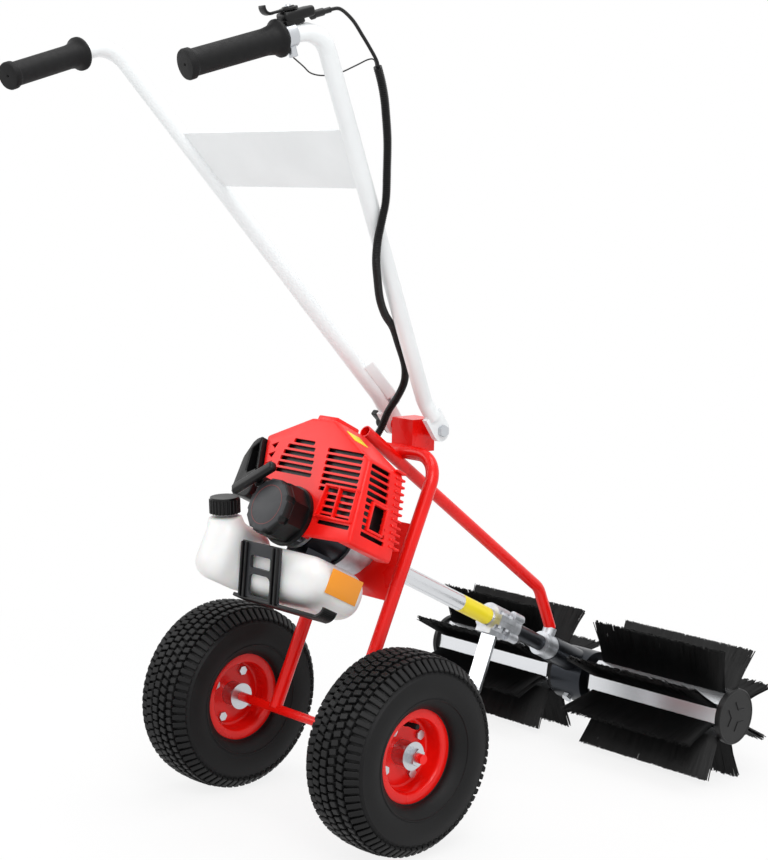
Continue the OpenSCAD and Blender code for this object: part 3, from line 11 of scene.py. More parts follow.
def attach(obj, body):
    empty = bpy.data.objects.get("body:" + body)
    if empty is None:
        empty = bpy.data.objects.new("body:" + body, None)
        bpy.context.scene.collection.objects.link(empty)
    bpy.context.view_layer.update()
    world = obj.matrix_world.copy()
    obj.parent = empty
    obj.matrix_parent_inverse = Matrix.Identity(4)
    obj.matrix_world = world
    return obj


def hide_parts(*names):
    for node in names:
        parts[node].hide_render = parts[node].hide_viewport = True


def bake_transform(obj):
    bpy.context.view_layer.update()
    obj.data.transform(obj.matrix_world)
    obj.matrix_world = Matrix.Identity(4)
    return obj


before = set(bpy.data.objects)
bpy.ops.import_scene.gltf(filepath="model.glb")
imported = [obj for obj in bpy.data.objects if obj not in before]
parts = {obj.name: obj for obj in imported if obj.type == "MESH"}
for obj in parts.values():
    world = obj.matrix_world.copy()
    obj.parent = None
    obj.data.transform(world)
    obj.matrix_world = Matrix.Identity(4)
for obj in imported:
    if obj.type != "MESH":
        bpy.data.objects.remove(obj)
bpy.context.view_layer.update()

# Studio
# A pale seamless floor under large soft lamps, as for a catalogue picture. The camera stands behind the
# right wheel, a little above the engine, with a long lens.
CAMERA_AT, CAMERA_TURN = (1.7868, -1.7161, 0.8483), (82.640, -1.386, 46.824)
SENSOR_WIDTH, LENS = 36, 73.92
FLOOR_SIZE, FLOOR_DROP = 30, 0.0005
FADE_FROM, FADE_TO, NEAR_WHITE = 0.5, 1.3, 0.84
FILL_LIGHT = 0.62
scene = bpy.context.scene
scene.view_settings.view_transform = "Standard"
bpy.ops.object.select_all(action="DESELECT")
bpy.ops.object.camera_add(location=CAMERA_AT, rotation=[math.radians(turn) for turn in CAMERA_TURN])
scene.camera = bpy.context.object
scene.camera.data.sensor_width = SENSOR_WIDTH
scene.camera.data.lens = LENS


def linear(code):
    """An sRGB hex value as linear red, green, blue and a full alpha."""
    shares = [int(code[i:i + 2], 16) / 255 for i in (1, 3, 5)]
    return [s / 12.92 if s <= 0.04045 else ((s + 0.055) / 1.055) ** 2.4 for s in shares] + [1.0]


def add(tree, kind, inputs={}, **settings):
    """Adds a node with its settings, and sets or links its inputs."""
    made = tree.nodes.new(kind)
    for name, value in settings.items():
        setattr(made, name, value)
    for name, value in inputs.items():
        if isinstance(value, bpy.types.NodeSocket):
            tree.links.new(value, made.inputs[name])
        else:
            made.inputs[name].default_value = value
    return made


def seen_rays(tree):
    """The kinds of ray, and one for rays from the camera or from a shiny surface."""
    rays = add(tree, "ShaderNodeLightPath").outputs
    either = {0: rays["Is Camera Ray"], 1: rays["Is Glossy Ray"]}
    return rays, add(tree, "ShaderNodeMath", either, operation="MAXIMUM").outputs[0]


def lamp(name, place, aim, size, watts):
    """A square soft lamp, turned to a point."""
    bpy.ops.object.light_add(type="AREA", location=place)
    light = bpy.context.object
    light.name = name
    light.data.size = size
    light.data.energy = watts
    light.rotation_euler = (Vector(aim) - Vector(place)).to_track_quat("-Z", "Y").to_euler()


lamp("key_lamp", (2.2, -1.6, 2.8), (0, 0, 0.4), 1.8, 54)
lamp("left_lamp", (-2.6, -1.8, 2.0), (0, 0, 0.5), 1.8, 24)
lamp("top_lamp", (0.2, 0.4, 3.4), (0, 0, 0.2), 2.2, 40)

world = bpy.data.worlds.new("pale_room")
scene.world = world
world.use_nodes = True
room = world.node_tree
room.nodes.clear()
rays, camera_or_gloss = seen_rays(room)
shown = add(room, "ShaderNodeMath", {0: camera_or_gloss, 1: rays["Is Transmission Ray"]},
            operation="MAXIMUM").outputs[0]
fill = add(room, "ShaderNodeBackground", {"Color": linear("#FFFFFF"), "Strength": FILL_LIGHT}).outputs[0]
white = add(room, "ShaderNodeBackground", {"Color": linear("#FFFFFF"), "Strength": 1.0}).outputs[0]
either = add(room, "ShaderNodeMixShader", {0: shown, 1: fill, 2: white}).outputs[0]
add(room, "ShaderNodeOutputWorld", {"Surface": either})

bpy.ops.mesh.primitive_plane_add(size=FLOOR_SIZE, location=(0, 0, -FLOOR_DROP))
floor = bpy.context.object
floor.name = "floor"
pale = bpy.data.materials.new("pale_floor")
pale.use_nodes = True
ground = pale.node_tree
ground.nodes.clear()
rays, camera_or_gloss = seen_rays(ground)
# The floor's shadow fades out into plain white a little way off
away = add(ground, "ShaderNodeVectorMath", {0: add(ground, "ShaderNodeTexCoord").outputs["Object"]},
           operation="LENGTH").outputs["Value"]
whiteness = add(ground, "ShaderNodeMapRange", {"Value": away, "From Min": FADE_FROM, "From Max": FADE_TO,
                                               "To Min": NEAR_WHITE, "To Max": 1.0}).outputs[0]
shown = add(ground, "ShaderNodeMath", {0: camera_or_gloss, 1: whiteness}, operation="MULTIPLY").outputs[0]
matt = add(ground, "ShaderNodeBsdfDiffuse", {"Color": linear("#F0F0F0")}).outputs[0]
glow = add(ground, "ShaderNodeEmission", {"Color": linear("#FFFFFF"), "Strength": 1.0}).outputs[0]
both = add(ground, "ShaderNodeMixShader", {0: shown, 1: matt, 2: glow}).outputs[0]
add(ground, "ShaderNodeOutputMaterial", {"Surface": both})
floor.data.materials.append(pale)

# Frame tubes
# An inverted U of bent steel tube carries the axle at its feet. The engine plate is welded between its legs,
# and a brace tube runs from under the top bar down to the brush neck. All of it is powder coated red.
AXLE_Y = -0.155684


def finish(name, colour, **sockets):
    """A new material, its shader with the given sockets, and Object coordinates."""
    made = bpy.data.materials.new(name)
    made.use_nodes = True
    tree = made.node_tree
    shader = tree.nodes["Principled BSDF"]
    shader.inputs["Base Color"].default_value = linear(colour)
    for socket, value in sockets.items():
        shader.inputs[socket.replace("_", " ")].default_value = value
    return made, shader, add(tree, "ShaderNodeTexCoord").outputs["Object"]


def dress(material, *names):
    """Gives CAD nodes a finish."""
    for name in names:
        parts[name].data.materials.clear()
        parts[name].data.materials.append(material)


def noise(at, scale, detail):
    """A cloud of grey noise over some coordinates."""
    return add(at.id_data, "ShaderNodeTexNoise", {"Vector": at, "Scale": scale, "Detail": detail}).outputs[0]


def tinted(shader, value, dark, light, low=0.3, high=0.7):
    """Runs a shader's colour from one hex value to another as a value climbs."""
    ramp = add(shader.id_data, "ShaderNodeValToRGB", {"Fac": value})
    for element, place, code in zip(ramp.color_ramp.elements, (low, high), (dark, light)):
        element.position = place
        element.color = linear(code)
    shader.id_data.links.new(ramp.outputs[0], shader.inputs["Base Color"])


def gloss(shader, value, low, high):
    """Lets a shader's roughness follow a value between two limits."""
    spread = add(shader.id_data, "ShaderNodeMapRange", {"Value": value, "To Min": low, "To Max": high})
    shader.id_data.links.new(spread.outputs[0], shader.inputs["Roughness"])


def relief(shader, value, strength, depth):
    """Lets a value stand out of a shader's surface as a fine relief."""
    bump = add(shader.id_data, "ShaderNodeBump", {"Height": value, "Strength": strength, "Distance": depth})
    shader.id_data.links.new(bump.outputs[0], shader.inputs["Normal"])


# Red powder coat: a glossy skin with a faint orange peel, a few millimetres from crest to crest
red_coat, shader, at = finish("red_powder_coat", "#E8100A", Roughness=0.28, Coat_Weight=0.1,
                              Coat_Roughness=0.08, Specular_IOR_Level=0.28)
cloud = noise(at, 14.0, 4.0)
tinted(shader, cloud, "#E20C07", "#F2140B")
relief(shader, noise(at, 420.0, 2.0), 0.10, 0.0006)
gloss(shader, cloud, 0.22, 0.34)
dress(red_coat, "frame_tube", "engine_plate", "brace_tube", "pivot_bracket", "axle", "rim_left", "rim_right")

# Bolts, washers and hubs
# Turned and pressed steel parts that hold the frame, the wheels and the drive line together. They are zinc
# plated: bright, a little milky, with a fine crystalline cloud.
zinc, shader, at = finish("zinc_plated_steel", "#C9CCD0", Metallic=1.0, Roughness=0.3)
cloud = noise(at, 260.0, 5.0)
gloss(shader, cloud, 0.2, 0.42)
relief(shader, cloud, 0.08, 0.0004)
dress(zinc, "axle_nuts", "pivot_bolt", "frame_screws", "hub_left", "hub_right", "rim_bolts_left",
      "rim_bolts_right", "bearings", "drive_shaft", "clutch_drum", "crankshaft", "brush_axle")

# Tyres
# Two pneumatic tyres of black rubber, moulded in one: a round carcass with two fine rings on the side wall,
# five rows of staggered blocks on the crown, and lugs that wrap round each shoulder.
tread_rubber, shader, at = finish("black_tyre_rubber", "#0C0C0D", Roughness=0.6, Specular_IOR_Level=0.25)
cloud = noise(at, 40.0, 5.0)
tinted(shader, cloud, "#070708", "#101011")
gloss(shader, cloud, 0.46, 0.68)
relief(shader, noise(at, 900.0, 3.0), 0.2, 0.0005)

WHEEL_X, WHEEL_Z = 0.1785, 0.135
CARCASS = ((129.4, 0), (129.0, 14), (127.6, 26), (125.0, 35), (121.0, 41.5), (115.5, 46.5), (111.8, 48.8),
           (111.2, 49.8), (110.0, 49.9), (109.2, 50.0), (103, 51.4), (95, 52.0), (87, 51.2), (81, 49.2),
           (80.3, 50.0), (78.8, 49.6), (78.2, 48.0), (73, 44.6), (68.5, 40.6), (65.2, 36.0), (64.3, 31.5),
           (64.4, 28.9), (58.0, 25.6), (51.2, 24.4))
ROUND_STEPS = 72
BLOCK_DEEP, BLOCK_EDGE = 0.009, 0.0009
# Rows of blocks: distance from the middle, crown radius, length round the tyre, width, turn in degrees and
# stagger in steps
TREAD_ROWS = ((0, 135.0, 8.6, 10.5, 0, 0), (14.2, 134.4, 8.0, 11.5, 14, 0.5),
              (27.6, 132.2, 8.4, 11.0, -10, 0))
LUG_SIZE, LUG_AT, LUG_LEAN = (0.0075, 0.0074, 0.019), (0.1214, 0.0402), -42
# Turned outlines end at this radius in millimetres instead of a point, and their meeting points merge
TIP, MERGE = 0.02, 0.00002
SMOOTH_UNDER = math.radians(32)


def turned(name, outline, steps):
    """A round piece about Z: a ring drawn on step by step through radii and heights in millimetres."""
    bpy.ops.object.select_all(action="DESELECT")
    rings = [(r / 1000, z / 1000) for r, z in outline]
    radius, height = rings[0]
    bpy.ops.mesh.primitive_circle_add(vertices=steps, radius=radius)
    piece = bpy.context.object
    piece.name = name
    bpy.ops.object.mode_set(mode="EDIT")
    bpy.ops.mesh.select_mode(type="VERT")
    bpy.ops.mesh.select_all(action="SELECT")
    bpy.ops.transform.translate(value=(0, 0, height))
    for wider, higher in rings[1:]:
        bpy.ops.mesh.extrude_region_move(TRANSFORM_OT_translate={"value": (0, 0, higher - height)})
        bpy.ops.transform.resize(value=(wider / radius, wider / radius, 1), center_override=(0, 0, 0))
        radius, height = wider, higher
    bpy.ops.mesh.select_all(action="SELECT")
    bpy.ops.mesh.remove_doubles(threshold=MERGE)
    bpy.ops.mesh.normals_make_consistent(inside=False)
    bpy.ops.object.mode_set(mode="OBJECT")
    return piece


def block(name, size, rounding, segments=1):
    """A block of that size about the origin, with its edges rounded."""
    bpy.ops.object.select_all(action="DESELECT")
    bpy.ops.mesh.primitive_cube_add(size=1)
    piece = bpy.context.object
    piece.name = name
    bpy.ops.object.mode_set(mode="EDIT")
    bpy.ops.transform.resize(value=size, center_override=(0, 0, 0))
    bpy.ops.mesh.bevel(offset=rounding, segments=segments, affect="EDGES")
    bpy.ops.object.mode_set(mode="OBJECT")
    return piece


def pick(piece):
    """Selects one piece alone and makes it the active one."""
    bpy.ops.object.select_all(action="DESELECT")
    piece.select_set(True)
    bpy.context.view_layer.objects.active = piece


def put(piece, place):
    """Moves a piece to its place, and puts that place into its mesh."""
    piece.matrix_world = place
    pick(piece)
    bpy.ops.object.transform_apply(location=True, rotation=True, scale=True)
    return piece


def shaped(piece, kind, **settings):
    """Adds a modifier with its settings, and applies it."""
    pick(piece)
    modifier = piece.modifiers.new("shape", kind)
    for name, value in settings.items():
        setattr(modifier, name, value)
    bpy.ops.object.modifier_apply(modifier=modifier.name)


def round_copies(piece, count):
    """Copies a piece round Z, by an array that turns with an empty."""
    bpy.ops.object.empty_add(rotation=(0, 0, 2 * math.pi / count))
    guide = bpy.context.object
    shaped(piece, "ARRAY", use_relative_offset=False, use_object_offset=True, offset_object=guide,
           count=count)
    bpy.data.objects.remove(guide)
    return piece


def joined(pieces):
    """One piece out of several, under the first one's name."""
    bpy.ops.object.select_all(action="DESELECT")
    for piece in pieces:
        piece.select_set(True)
    bpy.context.view_layer.objects.active = pieces[0]
    bpy.ops.object.join()
    return pieces[0]


def twin(piece, name):
    """A copy of a piece, with its own mesh."""
    other = piece.copy()
    other.data = piece.data.copy()
    other.name = name
    scene.collection.objects.link(other)
    return other


def fit(piece, material, body, slot, *nodes):
    """Gives a piece its finish and its body, and hides the CAD nodes that it stands for. The slot is not
    used.
    """
    piece.data.materials.clear()
    piece.data.materials.append(material)
    pick(piece)
    bpy.ops.object.shade_smooth_by_angle(angle=SMOOTH_UNDER)
    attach(piece, body)
    if nodes:
        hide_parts(*nodes)


def spun(degrees, axis):
    """A turn about an axis."""
    return Matrix.Rotation(math.radians(degrees), 4, axis)


def wheel_place(side):
    """Where a wheel turns: its own Z points outward along the axle."""
    return Matrix.Translation((side * WHEEL_X, AXLE_Y, WHEEL_Z)) @ spun(90 * side, "Y")


inner = [(r, -z) for r, z in CARCASS[:0:-1]]
tread = [turned("tyre_body_right", inner + list(CARCASS) + inner[:1], ROUND_STEPS)]
pitch = 2 * math.pi / ROUND_STEPS
for row, crown, long, wide, skew, stagger in TREAD_ROWS:
    for side in ((1,) if row == 0 else (-1, 1)):
        tread_block = block("tread_block", (BLOCK_DEEP, long / 1000, wide / 1000), BLOCK_EDGE)
        put(tread_block, Matrix.Rotation(stagger * pitch, 4, "Z")
            @ Matrix.Translation((crown / 1000 - BLOCK_DEEP / 2, 0, side * row / 1000))
            @ spun(side * skew, "X"))
        tread.append(round_copies(tread_block, ROUND_STEPS))
for side in (-1, 1):
    lug = block("shoulder_lug", LUG_SIZE, BLOCK_EDGE)
    put(lug, Matrix.Rotation(pitch / 2, 4, "Z") @ Matrix.Translation((LUG_AT[0], 0, side * LUG_AT[1]))
        @ spun(side * LUG_LEAN, "Y"))
    tread.append(round_copies(lug, ROUND_STEPS))
tyre_right = joined(tread)
tyre_left = twin(tyre_right, "tyre_body_left")
for piece, side, word in ((tyre_right, 1, "right"), (tyre_left, -1, "left")):
    put(piece, wheel_place(side))
    fit(piece, tread_rubber, word + "_wheel", "tyre_rubber", "tyre_" + word)

# Rims
# Two pressed steel dishes are bolted back to back inside each tyre: a flat disc for the bolts, a deep barrel
# and a rolled flange, powder coated red. A rubber valve stands in the dish.


def lying(x, y, z):
    """A move in millimetres."""
    return Matrix.Translation((x / 1000, y / 1000, z / 1000))


DISH = ((17.1, 2.7), (23, 2.7), (29, 3.6), (41, 3.6), (44, 3.0), (46.6, 4.2), (48.0, 7.2), (48.4, 12),
        (48.5, 22.5), (49.2, 25.8), (51.0, 27.8), (54, 28.5), (61.4, 28.5), (62.9, 28.1), (63.5, 27.2),
        (62.9, 26.3), (61.4, 25.9), (53.4, 25.9), (51.0, 24.8))
VALVE = ((TIP, 0), (4.6, 0), (4.6, 3), (4.0, 4.5), (4.0, 9), (3.2, 11), (3.2, 20), (4.0, 20.5), (4.0, 29),
         (3.4, 30), (TIP, 30))
VALVE_AT = (-40.4, 0, 2.9)
rim_right = turned("rim_dish_right", DISH + tuple((r, -z) for r, z in DISH[::-1]) + DISH[:1], ROUND_STEPS)
rim_left = twin(rim_right, "rim_dish_left")
valve_right = put(turned("valve_right", VALVE, 20), lying(*VALVE_AT))
valve_left = twin(valve_right, "valve_left")
for rim, valve, side, word in ((rim_right, valve_right, 1, "right"), (rim_left, valve_left, -1, "left")):
    put(rim, wheel_place(side))
    fit(rim, red_coat, word + "_wheel", "red_paint", "rim_" + word)
    put(valve, wheel_place(side))
    fit(valve, tread_rubber, word + "_wheel", "tyre_rubber")

# Drive line
# A drawn aluminium tube, a cast clamp and flange in two halves, and a dark steel sleeve run from the engine
# plate down to the gearbox on the brush.
DRIVE_LEAN = math.radians(26.3)
DRIVE_Z = 0.404507
drive = Matrix.Translation((0, AXLE_Y, DRIVE_Z)) @ Matrix.Rotation(-DRIVE_LEAN, 4, "X")


def stretched(at, scale, lean=0):
    """Coordinates pulled out along one axis, after a lean about X."""
    sockets = {"Vector": at, "Rotation": (lean, 0, 0), "Scale": scale}
    return add(at.id_data, "ShaderNodeMapping", sockets).outputs[0]


# Drawn aluminium: fine lines run along the tube, stretched thirty to one, drawn coarse so that they show
drawn, shader, at = finish("drawn_aluminium", "#D9DBDE", Metallic=1.0, Roughness=0.22)
lines = noise(stretched(at, (420.0, 6.0, 420.0), DRIVE_LEAN), 1.0, 3.0)
gloss(shader, lines, 0.18, 0.28)
relief(shader, lines, 0.03, 0.0003)
dress(drawn, "drive_tube", "support_leg")

# Yellow vinyl foil: smooth, with a soft shine. A bare band of it is wrapped round the tube above the clamp
foil, shader, at = finish("yellow_vinyl_foil", "#F2DE1A", Roughness=0.35)
gloss(shader, noise(at, 90.0, 3.0), 0.26, 0.44)
BAND_FROM = 322
BAND = ((13.02, 0), (13.14, 0), (13.16, 0.3), (13.16, 66.7), (13.14, 67), (13.02, 67), (13.02, 0))
band = put(turned("tube_band", BAND, 48), drive @ lying(0, BAND_FROM, 0) @ spun(-90, "X"))
fit(band, foil, "frame", "tube_aluminium")

# Cast aluminium: tumbled after casting, so it is pale, grainy and dull in its hollows
cast, shader, at = finish("cast_aluminium", "#B9BCC0", Metallic=0.9, Roughness=0.45)
grain = noise(at, 700.0, 3.0)
cloud = noise(at, 60.0, 4.0)
tinted(shader, cloud, "#A6A9AD", "#CBCED2", 0.32, 0.68)
gloss(shader, cloud, 0.36, 0.55)
relief(shader, grain, 0.25, 0.0006)
dress(cast, "tube_clamp", "neck_flange", "brace_clamp", "clutch_housing", "cylinder", "carburettor",
      "flywheel")

# Blackened steel: a dark oxide skin that keeps the metal's sheen
oxide, shader, at = finish("blackened_steel", "#3E4044", Metallic=1.0, Roughness=0.36)
gloss(shader, noise(at, 90.0, 5.0), 0.26, 0.5)
dress(oxide, "neck_sleeve", "muffler")

# Painted casting of the gearbox: black paint over a sand-cast skin
black_cast, shader, at = finish("black_painted_casting", "#303338", Metallic=0.85, Roughness=0.3)
grain = noise(at, 520.0, 3.0)
relief(shader, grain, 0.1, 0.0006)
gloss(shader, grain, 0.24, 0.36)
dress(black_cast, "gearbox_housing", "gearbox_covers", "crankcase")

# Bronze of the worm wheel: warm, cut by a hob
bronze, shader, at = finish("hobbed_bronze", "#B08A45", Metallic=1.0, Roughness=0.35)
gloss(shader, noise(at, 300.0, 3.0), 0.25, 0.45)
dress(bronze, "worm_wheel")

# Brush
# Two extruded aluminium cores turn on one axle, with nylon strips pressed into their grooves and moulded caps
# at the ends. Brush lines run across, along X.
BRUSH = Vector((0, 0.577863 + AXLE_Y, 0.102177))
extruded, shader, at = finish("extruded_aluminium", "#E2E4E7", Metallic=1.0, Roughness=0.2)
lines = noise(stretched(at, (3.0, 260.0, 260.0)), 1.0, 3.0)
gloss(shader, lines, 0.17, 0.26)
relief(shader, lines, 0.02, 0.0003)
dress(extruded, "brush_cores")

# Moulded black ABS: spark-eroded moulds leave a fine satin grain, about half a millimetre
black_abs, shader, at = finish("black_moulded_abs", "#0A0A0B", Roughness=0.4, Specular_IOR_Level=0.3)
grain = noise(at, 1400.0, 2.0)
gloss(shader, noise(at, 30.0, 3.0), 0.3, 0.46)
relief(shader, grain, 0.15, 0.0004)
dress(black_abs, "brush_end_caps", "brush_collars", "starter_housing", "air_filter_box", "starter_handle",
      "tank_cap", "throttle_housing", "throttle_lever", "lock_knob")

# Nylon strands: black, slightly shiny along their length
nylon, shader, at = finish("black_nylon_strand", "#060607", Roughness=0.42, Specular_IOR_Level=0.2)
cloud = noise(at, 500.0, 2.0)
tinted(shader, cloud, "#030303", "#0B0B0C", 0.0, 1.0)
gloss(shader, cloud, 0.32, 0.55)

STRIPS = 8
STRIP_PHASE = math.radians(15)
CORE_FROM, CORE_TO = 0.044, 0.290
STRIP_ROOT, STRIP_TIP = 0.0340, 0.1048
STRIP_END, STRIP_WIDE = 0.009, 0.0066
COLUMNS, ROWS = 150, 5
SPLAY, SCATTER, FRAY = 0.0085, 0.0030, 0.0019
THIN, THICK, TAPER = 0.0008, 0.0013, 0.75
JITTER, GATHER, BEND = 0.4, 0.5, 1.5


def bristles(name, side, seed, node):
    """Every strip of one drum: rows of three-sided strands that lean out at its ends and end unevenly."""
    chance = random.Random(seed)
    points, faces = [], []
    low, high = CORE_FROM + STRIP_END, CORE_TO - STRIP_END
    for strip in range(STRIPS):
        turn = STRIP_PHASE + strip * 2 * math.pi / STRIPS
        out = Vector((0, math.cos(turn), math.sin(turn)))
        across = Vector((0, -math.sin(turn), math.cos(turn)))
        for column in range(COLUMNS):
            for row in range(ROWS):
                share = (column + 0.5 + chance.uniform(-JITTER, JITTER)) / COLUMNS
                x = low + (high - low) * share
                lean = SPLAY * (2 * share - 1) ** 3 + chance.uniform(-SCATTER, SCATTER)
                offset = (row / (ROWS - 1) - 0.5) * STRIP_WIDE
                sway = chance.uniform(-SCATTER, SCATTER)
                tip = STRIP_TIP - abs(chance.gauss(0, FRAY))
                thick = chance.uniform(THIN, THICK)
                first = len(points)
                for level, (reach, width) in enumerate(((STRIP_ROOT, 1.0), (0.5 * (STRIP_ROOT + tip), 1.0),
                                                        (tip, TAPER))):
                    bent = (level / 2) ** BEND
                    centre = BRUSH + out * reach + across * (offset * (1 - GATHER * bent) + sway * bent)
                    centre.x += side * (x + lean * bent)
                    for corner in range(3):
                        angle = corner * 2 * math.pi / 3
                        points.append(centre + Vector((math.cos(angle), 0, 0)) * thick * width
                                      + across * math.sin(angle) * thick * width)
                for level in range(2):
                    for corner in range(3):
                        a = first + level * 3 + corner
                        b = first + level * 3 + (corner + 1) % 3
                        faces.append((a, b, b + 3, a + 3))
                faces.append((first + 6, first + 7, first + 8))
    mesh = bpy.data.meshes.new(name)
    mesh.from_pydata(points, [], faces)
    piece = bpy.data.objects.new(name, mesh)
    scene.collection.objects.link(piece)
    pick(piece)
    bpy.ops.object.mode_set(mode="EDIT")
    bpy.ops.mesh.select_all(action="SELECT")
    bpy.ops.mesh.normals_make_consistent(inside=False)
    bpy.ops.object.mode_set(mode="OBJECT")
    mesh.materials.append(nylon)
    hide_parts(node)
    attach(piece, "brush")


bristles("bristle_strips_left", -1, 11, "bristles_left")
bristles("bristle_strips_right", 1, 23, "bristles_right")

# Moulded end caps: a plain disc with three raised chevrons round its middle
CAP = ((TIP, 0), (41.0, 0), (42.0, 1.0), (42.0, 8.2), (40.8, 9.4), (39.0, 9.4), (38.4, 8.9), (TIP, 8.9))
CAP_FROM, CHEVRON, CHEVRON_R, CHEVRON_UP = 290, (0.015, 0.0018, 0.0016), 11, 9.2
CHEVRON_HALF, CHEVRON_TURN = 7, 0.5
caps = []
for side in (-1, 1):
    end = Matrix.Translation(BRUSH) @ spun(90 * side, "Y") @ lying(0, 0, CAP_FROM)
    caps.append(put(turned("brush_caps", CAP, ROUND_STEPS), end))
    for third in range(3):
        for lean in (-60, 60):
            bar = put(block("chevron", CHEVRON, 0.0004), lying(CHEVRON_HALF, 0, 0))
            caps.append(put(bar, end @ Matrix.Rotation(third * 2 * math.pi / 3 + CHEVRON_TURN, 4, "Z")
                            @ lying(CHEVRON_R, 0, CHEVRON_UP) @ spun(lean, "Z")))
caps = joined(caps)
caps.name = "brush_caps"
fit(caps, black_abs, "brush", "black_plastic", "brush_end_caps")

# Engine cover
# The red cover is one moulding of ABS, glossier than the frame, with louvres to the fan and the muffler. It
# sits on two posts on the cylinder head.
red_abs, shader, at = finish("red_moulded_abs", "#EC140E", Roughness=0.34, Specular_IOR_Level=0.35)
cloud = noise(at, 22.0, 3.0)
tinted(shader, cloud, "#E6100B", "#F61B14")
relief(shader, noise(at, 900.0, 2.0), 0.10, 0.0004)
gloss(shader, cloud, 0.28, 0.4)
dress(red_abs, "shroud")

COVER = ((17.4, -23), (126, -18), (107, 99), (15, 144), (-32, 142), (-110, 106), (-96, 64), (-89, 30),
         (-46, -23))
COVER_REAR, COVER_FRONT, COVER_RAKE = -47, 38, math.radians(10)
COVER_WALL, COVER_EDGE, LONG_EDGE, SIDE_SLOPE = 0.003, 0.005, 0.02, 0.163
FOOT, FOOT_AT, FOOT_EDGE = (0.142, 0.090, 0.05), (33, 1, -27), 0.002
WINDOW_BACK, WINDOW_UP = -8, 28.5


def slab(name, outline, rear, front):
    """A plate of that outline in millimetres across and up, drawn on from its rear to its front."""
    bpy.ops.object.select_all(action="DESELECT")
    bpy.ops.mesh.primitive_circle_add(vertices=len(outline), fill_type="NGON")
    piece = bpy.context.object
    piece.name = name
    for vertex, (x, up) in zip(piece.data.vertices, outline):
        vertex.co = (x / 1000, rear / 1000, up / 1000)
    bpy.ops.object.mode_set(mode="EDIT")
    bpy.ops.mesh.select_all(action="SELECT")
    bpy.ops.mesh.extrude_region_move(TRANSFORM_OT_translate={"value": (0, (front - rear) / 1000, 0)})
    bpy.ops.mesh.select_all(action="SELECT")
    bpy.ops.mesh.normals_make_consistent(inside=False)
    bpy.ops.object.mode_set(mode="OBJECT")
    return piece


def cut(piece, tools):
    """Cuts the tools' joined shape out of a piece."""
    tool = joined(tools)
    shaped(piece, "BOOLEAN", operation="DIFFERENCE", object=tool, solver="EXACT", use_self=True)
    bpy.data.objects.remove(tool)


def raked(piece, front):
    """Cuts a piece off at the cover's sloping front."""
    bpy.ops.object.mode_set(mode="EDIT")
    bpy.ops.mesh.select_all(action="SELECT")
    bpy.ops.mesh.bisect(plane_co=(0, front / 1000, 0),
                        plane_no=(0, math.cos(COVER_RAKE), math.sin(COVER_RAKE)), clear_outer=True)
    bpy.ops.object.mode_set(mode="OBJECT")
    return piece


cover = raked(slab("engine_cover", COVER, COVER_REAR, COVER_FRONT), COVER_FRONT)
# Its long corners and the rear face's edges are rounded
for edge in cover.data.edges:
    low, high = (cover.data.vertices[v].co for v in edge.vertices)
    edge.select = abs(low.y - high.y) > LONG_EDGE or max(low.y, high.y) < (COVER_REAR + 1) / 1000
bpy.ops.object.mode_set(mode="EDIT")
bpy.ops.mesh.select_mode(type="EDGE")
bpy.ops.mesh.bevel(offset=COVER_EDGE, segments=3, affect="EDGES")
bpy.ops.object.mode_set(mode="OBJECT")
shaped(cover, "SOLIDIFY", thickness=COVER_WALL, offset=-1.0)

# Louvres: rows nine millimetres apart, an arch at the left of the rear, full rows at its right and on the
# side
ROW, ROWS_UP, ROWS_FROM = 9, 12, -1
SLOT, SLOT_DEEP, SLOT_EDGE = 6, 14, 0.0012
ROW_LEFT, LEFT_LEAN, ROW_RIGHT, RIGHT_LEAN = 40, 0.178, 115, 0.22
LOOP_ROWS, LOOP_LEFT = 5, 52
SIDE_IN, SIDE_OUT = 100, 140
ARCH, ARCH_UP = ((-67, 9), (-66, 6), (-65, 4), (-63, 1), (-59, -2), (-50, -7)), 58
VENT_DEEP = 8
tools = []


def louvre(x0, x1, back, deep, up):
    """A cutting block from x0 to x1, with its middle that far back."""
    tools.append(put(block("louvre", ((x1 - x0) / 1000, deep / 1000, SLOT / 1000), SLOT_EDGE),
                     lying((x0 + x1) / 2, back, up + SLOT / 2)))


for row, (left, right) in enumerate(ARCH):
    louvre(left, right, COVER_REAR, SLOT_DEEP, ARCH_UP + ROW * row)
# Low down the full rows begin at the loop's left bar. Above it they begin further to the left
for row in range(ROWS_UP):
    up = ROWS_FROM + ROW * row
    left = LOOP_LEFT if row < LOOP_ROWS else ROW_LEFT - LEFT_LEAN * up
    louvre(left, ROW_RIGHT - RIGHT_LEAN * up, COVER_REAR, SLOT_DEEP, up)
    if row < ROWS_UP - 1:
        louvre(SIDE_IN, SIDE_OUT, WINDOW_BACK - 0.16 * up, 46 - 0.1 * up, up)
for up in (66, 80, 94):
    vent = ((-92, up), (-79, up + 6), (-83, up - 5))
    tools.append(slab("small_vent", vent, COVER_REAR - VENT_DEEP, COVER_REAR + VENT_DEEP))
tools.append(put(block("muffler_window", (0.030, 0.024, 0.035), 0.0012), lying(118, WINDOW_BACK, WINDOW_UP)))
tools.append(put(block("starter_well", (0.074, 0.03, 0.074), 0.03, 6), lying(0, COVER_REAR, 0)))
tools.append(put(block("open_foot", FOOT, FOOT_EDGE), lying(*FOOT_AT)))
cut(cover, tools)

# Raised parts of the cover: the loop of thin bars low at the right, the muffler window's frame and the front
# fins
SIDE_TILT = spun(-9.2, "Y")
